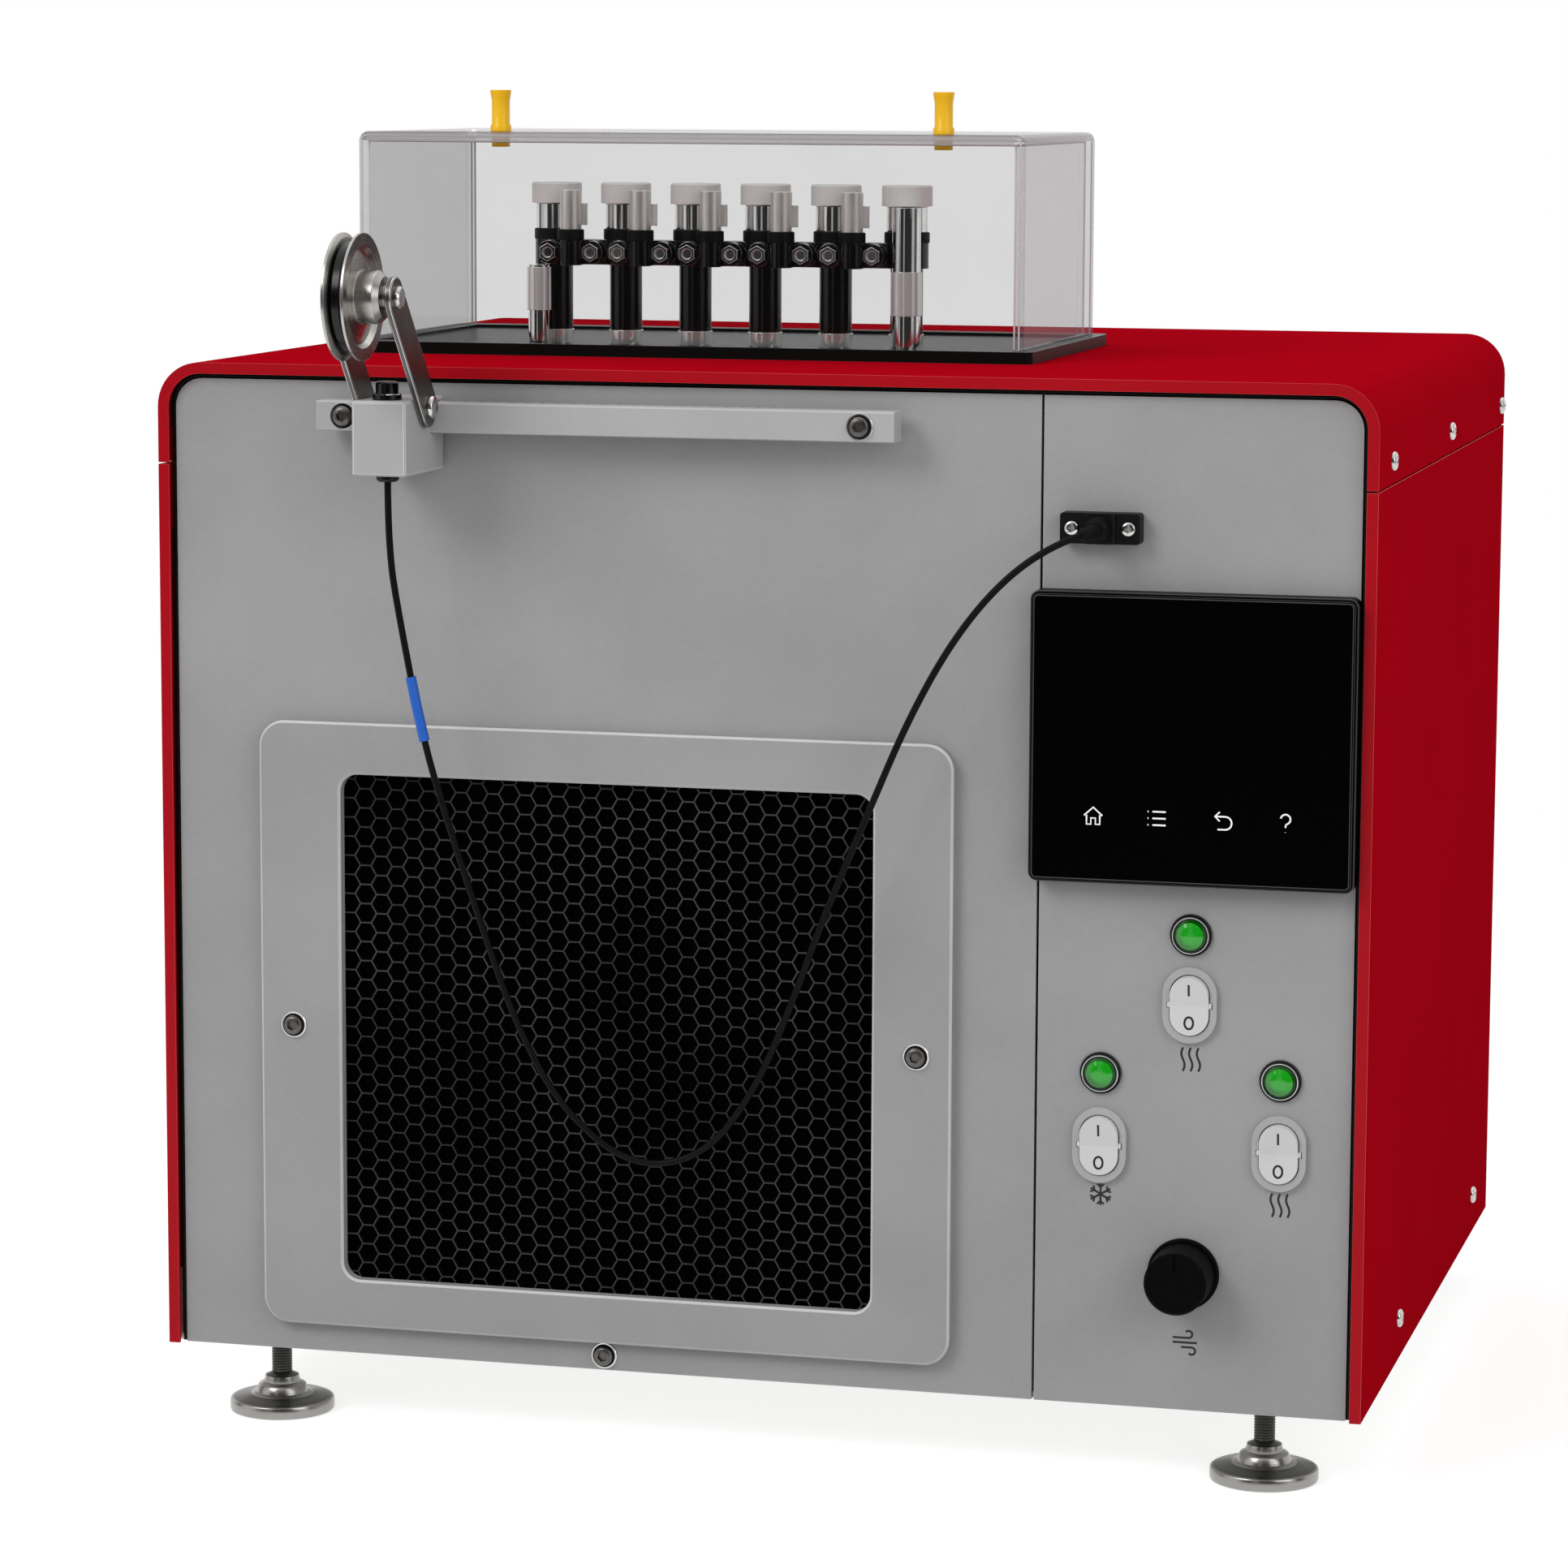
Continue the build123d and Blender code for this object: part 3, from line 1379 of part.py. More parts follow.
def make_rotor(cell_x):
    """Cap, spindle and cell rotor, turned from one bar."""
    cap_low = upper_top_z + running_gap
    cap_high = cap_low + cap_height
    well_floor = case_height - sheet - well_depth
    rotor_low = well_floor + 2 * running_gap
    rotor_high = rotor_low + rotor_height
    profile = (
        (0, rotor_low), (rotor_radius - rotor_taper, rotor_low),
        (rotor_radius, rotor_low + rotor_taper), (rotor_radius, rotor_high - rotor_taper),
        (spindle_radius, rotor_high), (spindle_radius, cap_low), (cap_radius, cap_low),
        (cap_radius, cap_high - cap_edge), (cap_radius - cap_edge, cap_high), (0, cap_high),
    )
    return place(cell_x, cell_y, 0) * turned(profile)


def cell_block_spans():
    """Spans of the metal block under the tray."""
    x = (cell_places[0] - block_margin_x, cell_places[-1] + block_margin_x)
    top = case_height - sheet
    return x, around(cell_y, block_margin_y), (top - block_height, top)


def make_cell_block():
    """Thermostatted metal block with one blind well for each cell."""
    x, y, z = cell_block_spans()
    body = block(x, y, z)
    for cell_x in cell_places:
        body -= rod_z(well_radius, cell_x, cell_y, (z[1] - well_depth, z[1] + 1))
    return body


def make_block_jacket():
    """Insulating jacket round the sides and under the block."""
    x, y, z = cell_block_spans()
    outer = block(
        (x[0] - jacket_wall, x[1] + jacket_wall), (y[0] - jacket_wall, y[1] + jacket_wall),
        (z[0] - jacket_wall, z[1]),
    )
    return outer - block(x, y, (z[0], z[1] + 1))


# ---------------------------------------------------------------- power inlet
def make_power_inlet():
    """Appliance inlet: flange on the rear panel, hollow body and three pins."""
    flange = upright(
        Pos(inlet_x, inlet_z) * RectangleRounded(inlet_flange_width, inlet_flange_height, 3),
        (rear_panel_back, case_depth),
    )
    body = block(
        around(inlet_x, inlet_body_width / 2),
        (case_depth - inlet_body_depth, rear_panel_back),
        around(inlet_z, inlet_body_height / 2),
    )
    inlet = flange + body
    inlet -= block(
        around(inlet_x, inlet_body_width / 2 - inlet_wall),
        (case_depth - inlet_socket_depth, case_depth + 1),
        around(inlet_z, inlet_body_height / 2 - inlet_wall),
    )
    pin_y = (case_depth - inlet_socket_depth, case_depth - inlet_socket_depth + inlet_pin_length)
    half = inlet_pin_thickness / 2
    for side in (-1, 1):
        pin_x = around(inlet_x + side * inlet_pin_spacing / 2, half)
        inlet += block(pin_x, pin_y, around(inlet_z - 1, inlet_pin_width / 2))
    earth = around(inlet_z + inlet_earth_rise, inlet_pin_width / 2)
    inlet += block(around(inlet_x, half), pin_y, earth)
    return inlet


# ---------------------------------------------------------------- levelling feet
def make_foot(foot_x, foot_y):
    """Levelling foot: round pad, stepped collar and threaded stud."""
    pad = foot_pad_radius
    top = foot_pad_height
    stud = foot_stud_radius
    end = foot_height + foot_stud_engagement
    profile = (
        (0, 0), (pad - 1, 0), (pad, 1), (pad, top - 1), (pad - 1.5, top),
        *[(radius, top + height) for radius, height in foot_collar_steps],
        (stud, top + foot_collar_height), (stud, end), (0, end),
    )
    return place(foot_x, foot_y, -foot_height) * turned(profile)


# ---------------------------------------------------------------- assembly
nodes = {
    "top_cover": make_top_cover(),
    "left_side_panel": make_side_panel(True),
    "right_side_panel": make_side_panel(False),
    "base_plate": make_base_plate(),
    "rear_panel": make_rear_panel(),
    "case_screws": make_case_screws(),
    "left_front_panel": make_left_front_panel(),
    "right_front_panel": make_right_front_panel(),
    "grille_frame": make_grille_frame(),
    "honeycomb_grille": make_honeycomb(),
    "air_filter": make_air_filter(),
    "front_screws": make_front_screws(),
    "fan_housing": make_fan_housing(),
    "fan_rotor": make_fan_rotor(),
    "carriage_rail": make_rail(),
    "rail_spacers": make_rail_spacers(),
    "carriage_block": make_carriage_block(),
    "left_fork_arm": make_fork_arm(True),
    "right_fork_arm": make_fork_arm(False),
    "pivot_screws": make_pivot_screws(),
    "pulley_axle": make_pulley_axle(),
    "pulley": make_pulley(),
    "rotation_sensor": make_rotation_sensor(),
    "connector_housing": make_connector_housing(),
    "signal_plug": make_signal_plug(),
    "signal_cable": make_signal_cable(),
    "cable_sleeve": make_cable_sleeve(),
    "display_housing": make_display_housing(),
    "display_glass": make_display_glass(),
    "lamp_bezels": make_lamp_bezels(),
    "lamp_lenses": make_lamp_lenses(),
    "switch_bezels": make_switch_bezels(),
    "air_flow_knob": make_knob(),
    "cell_tray": make_cell_tray(),
    "clear_cover": make_clear_cover(),
    "port_tubes": make_port_tubes(),
    "cell_base_rings": make_cell_base_rings(),
    "cell_lower_tubes": make_cell_lower_tubes(),
    "clamp_bar": make_clamp_bar(),
    "clamp_fittings": make_clamp_fittings(),
    "cell_boots": make_cell_boots(),
    "cell_upper_tubes": make_cell_upper_tubes(),
    "side_tubes": make_side_tubes(),
    "guide_tubes": make_guide_tubes(),
    "cell_block": make_cell_block(),
    "block_jacket": make_block_jacket(),
    "power_inlet": make_power_inlet(),
}
for rocker_name, (rocker_x, rocker_z) in switch_places.items():
    nodes[rocker_name] = make_rocker(rocker_x, rocker_z)
for number, rotor_x in enumerate(cell_places, start=1):
    nodes[f"rotor_{number}"] = make_rotor(rotor_x)
for corner_name, (corner_x, corner_y) in foot_places().items():
    nodes[f"foot_{corner_name}"] = make_foot(corner_x, corner_y)

os.makedirs("parts", exist_ok=True)
for node_name, shape in nodes.items():
    export_step(shape, f"parts/{node_name}.step")
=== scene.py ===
"""Visual model of a bench rotational viscometer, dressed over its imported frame."""

import logging
import math
from dataclasses import dataclass, field
from enum import Enum
from typing import Any, Callable, Optional, Sequence

import bmesh
import bpy
from mathutils import Matrix, Vector


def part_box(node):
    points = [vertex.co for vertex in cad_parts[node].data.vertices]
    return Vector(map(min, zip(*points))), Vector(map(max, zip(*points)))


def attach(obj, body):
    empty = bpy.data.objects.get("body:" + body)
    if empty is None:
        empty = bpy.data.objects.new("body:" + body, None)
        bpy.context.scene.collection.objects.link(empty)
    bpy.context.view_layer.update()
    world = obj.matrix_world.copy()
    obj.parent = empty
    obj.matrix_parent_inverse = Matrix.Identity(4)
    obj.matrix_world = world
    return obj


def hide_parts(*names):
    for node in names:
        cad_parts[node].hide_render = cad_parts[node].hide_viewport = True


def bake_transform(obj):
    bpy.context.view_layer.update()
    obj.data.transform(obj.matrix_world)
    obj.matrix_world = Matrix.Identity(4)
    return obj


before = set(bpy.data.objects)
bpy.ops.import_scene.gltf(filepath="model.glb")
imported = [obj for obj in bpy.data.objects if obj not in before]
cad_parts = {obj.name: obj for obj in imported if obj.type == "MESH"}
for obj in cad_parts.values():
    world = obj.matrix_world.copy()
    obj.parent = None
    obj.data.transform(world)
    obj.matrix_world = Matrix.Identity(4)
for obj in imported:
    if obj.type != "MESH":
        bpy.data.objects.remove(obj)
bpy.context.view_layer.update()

log = logging.getLogger("viscometer")

MM = 0.001
CRISP_ANGLE = 30.0
SMOOTH_ANGLE = 34.0
FLAT_ANGLE = 0.1
LEANING = (0.3, 0.95)
LEVEL = 0.99999
WELD_REACH = 0.002
DOUBLE_REACH = 0.001
FULL_TURN = 2 * math.pi

Colour = tuple[float, float, float]
Point = tuple[float, float, float]
Profile = Sequence[tuple[float, float]]
Stroke = Sequence[tuple[float, float]]


class Facing(Enum):
    """Directions that a piece drawn along Z can be turned to."""

    UP = (0.0, "X")
    FRONT = (90.0, "X")
    BACK = (-90.0, "X")
    LEFT = (-90.0, "Y")
    RIGHT = (90.0, "Y")

    @property
    def turn(self) -> Matrix:
        """Rotation that takes +Z to this direction."""
        degrees, axis = self.value
        return Matrix.Rotation(math.radians(degrees), 4, axis)


def seat_at(spot: Sequence[float], facing: Facing = Facing.UP) -> Matrix:
    """Matrix that seats a piece drawn in millimetres.

    Args:
        spot: Its place in metres.
        facing: Where the piece's Z axis points.

    Returns:
        The matrix from drawn millimetres to the model's frame.
    """
    return Matrix.Translation(spot) @ facing.turn @ Matrix.Scale(MM, 4)


def twist(degrees: float) -> Matrix:
    """Rotation round Z."""
    return Matrix.Rotation(math.radians(degrees), 4, "Z")


class CaseCorner:
    """Millimetres from the case's lower left front corner, as the frame places it."""

    def __init__(self) -> None:
        """Reads the corner from the hood and the left side wall."""
        hood_low, hood_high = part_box("top_cover")
        side_low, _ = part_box("left_side_panel")
        self.origin = Vector((hood_low.x, hood_low.y, side_low.z))
        self.width = (hood_high.x - hood_low.x) / MM
        self.depth = (hood_high.y - hood_low.y) / MM
        self.height = (hood_high.z - side_low.z) / MM

    def at(self, x: float, y: float, z: float) -> Vector:
        """Point of the model for a point of the case.

        Args:
            x: Millimetres to the right.
            y: Millimetres into the depth.
            z: Millimetres up.

        Returns:
            The point in metres in the model's frame.
        """
        return self.origin + Vector((x, y, z)) * MM

    def place(self, x: float, y: float, z: float, facing: Facing = Facing.UP) -> Matrix:
        """Matrix that seats a piece drawn in millimetres at a point of the case.

        Args:
            x: Millimetres to the right.
            y: Millimetres into the depth.
            z: Millimetres up.
            facing: Where the piece's Z axis points.

        Returns:
            The matrix from drawn millimetres to the model's frame.
        """
        return seat_at(self.at(x, y, z), facing)


CASE = CaseCorner()


# ---------------------------------------------------------------- shader maths
def arithmetic(operation: str, swapped: bool = False) -> Callable[["Value", Any], "Value"]:
    """Makes the method behind one Python operator.

    Args:
        operation: The Math node's operation.
        swapped: Whether the other term comes first.

    Returns:
        The method.
    """
    def method(value: "Value", other: Any) -> "Value":
        """Adds the Math node on the two terms."""
        terms = (other, value) if swapped else (value, other)
        return value.shade.maths(operation, *terms)

    return method


class Value:
    """A shader socket that takes part in Python arithmetic."""

    def __init__(self, shade: "Shade", socket: bpy.types.NodeSocket) -> None:
        """Wraps one output socket of a material's tree."""
        self.shade = shade
        self.socket = socket

    __add__ = __radd__ = arithmetic("ADD")
    __sub__ = arithmetic("SUBTRACT")
    __rsub__ = arithmetic("SUBTRACT", swapped=True)
    __mul__ = __rmul__ = arithmetic("MULTIPLY")
    __truediv__ = arithmetic("DIVIDE")
    __gt__ = arithmetic("GREATER_THAN")

    def root(self) -> "Value":
        """Square root."""
        return self.shade.maths("SQRT", self)

    def distance(self) -> "Value":
        """Absolute value."""
        return self.shade.maths("ABSOLUTE", self)

    def ramp(self, low: float, high: float) -> "Value":
        """Smooth step.

        Args:
            low: Value that gives 0.
            high: Value that gives 1.

        Returns:
            The step, from 0 to 1.
        """
        node = self.shade.node(
            "ShaderNodeMapRange",
            {"interpolation_type": "SMOOTHSTEP"},
            {"Value": self, "From Min": low, "From Max": high},
        )
        return Value(self.shade, node.outputs["Result"])


class Shade:
    """Builder of one material's or one world's node tree."""

    def __init__(self, owner: bpy.types.Material | bpy.types.World) -> None:
        """Starts an empty tree.

        Args:
            owner: The material or world that holds the tree.
        """
        owner.use_nodes = True
        self.owner = owner
        self.tree = owner.node_tree
        self.tree.nodes.clear()

    def node(
        self, kind: str, settings: Optional[dict[str, Any]] = None, sockets: Optional[dict[Any, Any]] = None
    ) -> bpy.types.Node:
        """Adds a node.

        Args:
            kind: The node's type.
            settings: Its properties.
            sockets: Numbers, colours or Values for its inputs.

        Returns:
            The new node.
        """
        made = self.tree.nodes.new(kind)
        for key, setting in (settings or {}).items():
            setattr(made, key, setting)
        for key, given in (sockets or {}).items():
            if isinstance(given, Value):
                self.tree.links.new(given.socket, made.inputs[key])
            else:
                made.inputs[key].default_value = given
        return made

    def maths(self, operation: str, *terms: Any) -> Value:
        """Adds a Math node.

        Args:
            operation: The node's operation.
            terms: Numbers or Values.

        Returns:
            Its result.
        """
        made = self.node("ShaderNodeMath", {"operation": operation}, dict(enumerate(terms)))
        return Value(self, made.outputs[0])

    def position(self) -> Value:
        """Object coordinates in metres."""
        return Value(self, self.node("ShaderNodeTexCoord").outputs["Object"])

    def axis(self, letter: str) -> Value:
        """One coordinate of the position.

        Args:
            letter: X, Y or Z.

        Returns:
            The coordinate in metres.
        """
        split = self.node("ShaderNodeSeparateXYZ", None, {"Vector": self.position()})
        return Value(self, split.outputs[letter])

    def stretched(self, scale: Point) -> Value:
        """Object coordinates scaled by axis.

        Args:
            scale: Factor along X, Y and Z.

        Returns:
            The scaled vector.
        """
        made = self.node("ShaderNodeMapping", None, {"Vector": self.position(), "Scale": scale})
        return Value(self, made.outputs["Vector"])

    def noise(self, scale: float, detail: float, where: Optional[Value] = None) -> Value:
        """Noise texture.

        Args:
            scale: Features per metre.
            detail: Octaves.
            where: Coordinates, or the object's own.

        Returns:
            A factor from 0 to 1.
        """
        spot = where if where is not None else self.position()
        made = self.node("ShaderNodeTexNoise", None, {"Vector": spot, "Scale": scale, "Detail": detail})
        return Value(self, made.outputs["Fac"])

    def specks(self, scale: float) -> Value:
        """Distance to the nearest cell point.

        Args:
            scale: Cells per metre.

        Returns:
            The distance, from 0.
        """
        made = self.node("ShaderNodeTexVoronoi", None, {"Vector": self.position(), "Scale": scale})
        return Value(self, made.outputs["Distance"])

    def blend(self, factor: Any, first: Any, second: Any) -> Value:
        """Mixes two colours.

        Args:
            factor: Share of the second.
            first: Colour or Value.
            second: Colour or Value.

        Returns:
            The mixed colour.
        """
        def full(colour: Any) -> Any:
            """Adds the fourth number that a colour socket takes."""
            return colour if isinstance(colour, Value) else (*colour, 1.0)

        made = self.node(
            "ShaderNodeMix", {"data_type": "RGBA"}, {0: factor, 6: full(first), 7: full(second)}
        )
        return Value(self, made.outputs[2])

    def bump(self, height: Value, depth: float, strength: float) -> Value:
        """Turns a height into a normal.

        Args:
            height: Factor from 0 to 1.
            depth: Metres between them.
            strength: Share of the effect.

        Returns:
            The normal.
        """
        made = self.node(
            "ShaderNodeBump", None, {"Height": height, "Distance": depth, "Strength": strength}
        )
        return Value(self, made.outputs["Normal"])

    def radius(self, centre: Vector, across: str) -> Value:
        """Distance from a line through a point.

        Args:
            centre: Point of the line, in metres.
            across: The two axes across the line, such as YZ.

        Returns:
            The distance in metres.
        """
        index = {"X": 0, "Y": 1, "Z": 2}
        terms = [self.axis(letter) - centre[index[letter]] for letter in across]
        return (terms[0] * terms[0] + terms[1] * terms[1]).root()

    def slant(self) -> Value:
        """How far the surface turns away from the view, from 0 to 1."""
        made = self.node("ShaderNodeLayerWeight", None, {"Blend": 0.5})
        return Value(self, made.outputs["Facing"])

    def surface(self, **sockets: Any) -> bpy.types.Material:
        """Ends the tree in a Principled shader.

        Args:
            sockets: Its inputs, with underscores for spaces.

        Returns:
            The finished material.
        """
        named = {key.replace("_", " "): given for key, given in sockets.items()}
        base = named.get("Base Color")
        if base is not None and not isinstance(base, Value):
            named["Base Color"] = (*base, 1.0)
        shader = self.node("ShaderNodeBsdfPrincipled", None, named)
        self.node("ShaderNodeOutputMaterial", None, {"Surface": Value(self, shader.outputs["BSDF"])})
        return self.owner


# ---------------------------------------------------------------- finishes
@dataclass(frozen=True)
class Finish:
    """A named finish that makes its material once."""

    name: str

    def material(self) -> bpy.types.Material:
        """The finish's material, made on first use."""
        title = f"finish_{self.name}"
        return bpy.data.materials.get(title) or self.build(Shade(bpy.data.materials.new(title)))

    def build(self, shade: Shade) -> bpy.types.Material:
        """Makes the material in the given tree."""
        raise NotImplementedError


@dataclass(frozen=True)
class Paint(Finish):
    """Sprayed or powder-coated sheet with a faint mottle and orange peel."""

    colour: Colour
    deep: Colour
    roughness: float
    coat: float
    peel: float
    peel_scale: float = 900.0
    gloss: float = 0.3

    def build(self, shade: Shade) -> bpy.types.Material:
        """Cloudy colour, dusty roughness, orange peel, and a coat that fades at a slant.

        Args:
            shade: Its empty tree.

        Returns:
            The finished material.
        """
        clouds = shade.noise(14.0, 5.0)
        grain = shade.noise(420.0, 3.0)
        colour = shade.blend((clouds * 0.75 + grain * 0.25).ramp(0.3, 0.72), self.deep, self.colour)
        handling = shade.noise(38.0, 4.0)
        height = shade.noise(self.peel_scale, 2.0)
        facing = 1.0 - shade.slant().ramp(0.35, 0.75)
        return shade.surface(
            Base_Color=colour,
            Roughness=self.roughness + 0.1 * handling.ramp(0.35, 0.75),
            Specular_IOR_Level=self.gloss,
            Coat_Weight=self.coat * facing if self.coat else 0.0,
            Coat_Roughness=0.3,
            Normal=shade.bump(height, 0.0001, self.peel),
        )


@dataclass(frozen=True)
class Brushed(Finish):
    """Metal with straight brush lines along one axis."""

    colour: Colour
    roughness: float
    lines: Point = (30.0, 2500.0, 2500.0)
    contrast: float = 0.35

    def build(self, shade: Shade) -> bpy.types.Material:
        """Fine lines in colour, roughness and height.

        Args:
            shade: Its empty tree.

        Returns:
            The finished material.
        """
        line = shade.noise(1.0, 3.0, shade.stretched(self.lines))
        smudge = shade.noise(60.0, 3.0)
        dark = tuple(channel * (1 - self.contrast) for channel in self.colour)
        return shade.surface(
            Base_Color=shade.blend(line.ramp(0.3, 0.7), dark, self.colour),
            Metallic=1.0,
            Roughness=self.roughness + 0.14 * line + 0.08 * smudge.ramp(0.4, 0.8),
            Normal=shade.bump(line, 0.00003, 0.35),
        )


@dataclass(frozen=True)
class Turned(Finish):
    """Metal with fine tool rings round an axis."""

    colour: Colour
    centre: Point
    across: str
    roughness: float
    ring_scale: float
    contrast: float
    groove: tuple[float, float] = (0.0, 0.0)

    def build(self, shade: Shade) -> bpy.types.Material:
        """Rings round the axis, broken by smudges, and a dark groove if there is one.

        Args:
            shade: Its empty tree.

        Returns:
            The finished material.
        """
        radius = shade.radius(Vector(self.centre), self.across)
        spot = shade.node("ShaderNodeCombineXYZ", None, {"X": radius})
        ring = shade.noise(self.ring_scale, 3.0, Value(shade, spot.outputs["Vector"]))
        smudge = shade.noise(90.0, 3.0)
        dark = tuple(channel * (1 - self.contrast) for channel in self.colour)
        colour = shade.blend(ring.ramp(0.3, 0.7), dark, self.colour)
        half_width, floor_radius = (length * MM for length in self.groove)
        if half_width > 0:
            offset = (shade.axis("X") - self.centre[0]).distance()
            inside = (1.0 - offset.ramp(half_width * 0.8, half_width)) * (radius > floor_radius)
            colour = shade.blend(inside, colour, GROOVE_GREY)
        return shade.surface(
            Base_Color=colour,
            Metallic=1.0,
            Roughness=self.roughness + 0.16 * ring + 0.07 * smudge.ramp(0.4, 0.8),
            Normal=shade.bump(ring, 0.00004, 0.4),
        )


@dataclass(frozen=True)
class Plated(Finish):
    """Bright plated metal with faint handling marks."""

    colour: Colour
    roughness: float
    smudges: float = 0.12
    band: tuple[float, float] = (0.0, 0.0)
    metal: float = 1.0

    def build(self, shade: Shade) -> bpy.types.Material:
        """Metal dulled in soft patches, with a pale band between two heights if there is one.

        Args:
            shade: Its empty tree.

        Returns:
            The finished material.
        """
        smudge = shade.noise(120.0, 4.0)
        dull = tuple(channel * 0.82 for channel in self.colour)
        colour = shade.blend(smudge.ramp(0.45, 0.8), self.colour, dull)
        metal: Any = self.metal
        low, high = self.band
        if high > low:
            height = shade.axis("Z")
            banded = (height > low) * (1.0 - (height > high))
            colour = shade.blend(banded, colour, BAND_WHITE)
            metal = 1.0 - 0.65 * banded
        return shade.surface(
            Base_Color=colour,
            Metallic=metal,
            Roughness=self.roughness + self.smudges * smudge.ramp(0.4, 0.85),
            Normal=shade.bump(shade.noise(700.0, 2.0), 0.00002, 0.12),
        )


@dataclass(frozen=True)
class Moulded(Finish):
    """Moulded plastic or rubber with a fine spark texture."""

    colour: Colour
    roughness: float
    texture: float = 0.08
    texture_scale: float = 2600.0
    dust: Colour = (0.09, 0.09, 0.09)
    dust_share: float = 0.06
    coat: float = 0.0
    gloss: float = 0.35
    handling: float = 0.1

    def build(self, shade: Shade) -> bpy.types.Material:
        """Even colour with dusty patches and a grained surface.

        Args:
            shade: Its empty tree.

        Returns:
            The finished material.
        """
        patches = shade.noise(45.0, 5.0).ramp(0.45, 0.8)
        grain = shade.noise(self.texture_scale, 2.0)
        return shade.surface(
            Base_Color=shade.blend(patches * self.dust_share, self.colour, self.dust),
            Roughness=self.roughness + self.handling * patches + 0.05 * grain,
            Specular_IOR_Level=self.gloss,
            Coat_Weight=self.coat,
            Coat_Roughness=0.05,
            Normal=shade.bump(grain, 0.00005, self.texture),
        )


@dataclass(frozen=True)
class Foam(Finish):
    """Open-cell foam."""

    colour: Colour
    pores: float = 900.0

    def build(self, shade: Shade) -> bpy.types.Material:
        """Dark pores between lighter threads.

        Args:
            shade: Its empty tree.

        Returns:
            The finished material.
        """
        pore = shade.specks(self.pores).ramp(0.15, 0.6)
        light = tuple(channel * 2.2 for channel in self.colour)
        return shade.surface(
            Base_Color=shade.blend(pore, self.colour, light),
            Roughness=0.85 + 0.1 * pore,
            Specular_IOR_Level=0.05,
            Normal=shade.bump(pore, 0.0006, 0.8),
        )


@dataclass(frozen=True)
class Acrylic(Finish):
    """Clear polished sheet that deepens towards a grazing view."""

    colour: Colour
    deep: Colour
    body: float
    grazing: float

    def build(self, shade: Shade) -> bpy.types.Material:
        """Tint and cover rise with the slant of the view, with a trace of haze.

        Args:
            shade: Its empty tree.

        Returns:
            The finished material.
        """
        haze = shade.noise(22.0, 4.0).ramp(0.5, 0.85)
        slant = shade.slant()
        return shade.surface(
            Base_Color=shade.blend(slant.ramp(0.35, 0.95), self.colour, self.deep),
            Roughness=0.03 + 0.03 * haze,
            Specular_IOR_Level=0.15,
            Alpha=self.body + self.grazing * (slant * slant) + 0.015 * haze,
        )


@dataclass(frozen=True)
class Lens(Finish):
    """Coloured lamp lens that glows faintly in its middle."""

    colour: Colour
    glow: Colour
    strength: float
    rim_span: tuple[float, float] = (0.05, 0.26)

    def build(self, shade: Shade) -> bpy.types.Material:
        """Translucent plastic, bright where it faces the view and deep at its rim.

        Args:
            shade: Its empty tree.

        Returns:
            The finished material.
        """
        depth = shade.noise(300.0, 2.0)
        rim = shade.slant().ramp(*self.rim_span)
        tint = shade.blend(rim, self.glow, self.colour)
        return shade.surface(
            Base_Color=tint,
            Roughness=0.13 + 0.05 * depth,
            Coat_Weight=0.5,
            Coat_Roughness=0.04,
            Emission_Color=tint,
            Emission_Strength=self.strength,
            Normal=shade.bump(depth, 0.0002, 0.12),
        )


@dataclass(frozen=True)
class Ink(Finish):
    """Printed marks."""

    colour: Colour
    roughness: float = 0.45
    strength: float = 0.0

    def build(self, shade: Shade) -> bpy.types.Material:
        """Flat ink, slightly uneven.

        Args:
            shade: Its empty tree.

        Returns:
            The finished material.
        """
        wear = shade.noise(800.0, 3.0)
        faded = tuple(channel * 0.85 + 0.002 for channel in self.colour)
        ink = shade.blend(wear.ramp(0.4, 0.8), self.colour, faded)
        return shade.surface(
            Base_Color=ink,
            Roughness=self.roughness + 0.1 * wear,
            Emission_Color=ink,
            Emission_Strength=self.strength,
        )


def grey(level: float) -> Colour:
    """Neutral colour.

    Args:
        level: Its brightness.

    Returns:
        The colour.
    """
    return (level,) * 3


GROOVE_GREY = grey(0.03)
BAND_WHITE = (0.86, 0.85, 0.84)
RED_PAINT = Paint("red_paint", (0.47, 0.002, 0.010), (0.44, 0.0018, 0.009), 0.38, 0.3, 0.05, gloss=0.0)
# Painted highlight: pale salmon on the red sheets' softened edges, standing for light caught on them.
RED_EDGE_HIGHLIGHT = Paint("red_edge_highlight", (0.74, 0.14, 0.12), (0.66, 0.10, 0.09), 0.3, 0.3, 0.05, gloss=0.1)
GREY_PAINT = Paint("grey_paint", (0.41, 0.41, 0.412), (0.36, 0.361, 0.364), 0.42, 0.0, 0.06, gloss=0.2)
# Painted highlight: pale grey on the grey panels' softened edges and on the grille frame's leaning
# chamfers.
GREY_EDGE_HIGHLIGHT = Paint("panel_edge_highlight", grey(0.72), grey(0.62), 0.35, 0.0, 0.05)
RAIL_PAINT = Paint("light_grey_paint", (0.50, 0.50, 0.505), (0.46, 0.46, 0.465), 0.4, 0.0, 0.06)
# Painted highlight: pale grey on the rail's and block's softened edges, standing for light caught on them.
RAIL_EDGE_HIGHLIGHT = Paint("rail_edge_highlight", (0.74, 0.74, 0.745), grey(0.68), 0.35, 0.0, 0.05)
ZINC = Brushed("zinc_steel", (0.55, 0.55, 0.53), 0.35, (200.0, 200.0, 40.0), 0.2)
BRIGHT_SCREW = Plated("bright_screws", (0.58, 0.565, 0.55), 0.16)
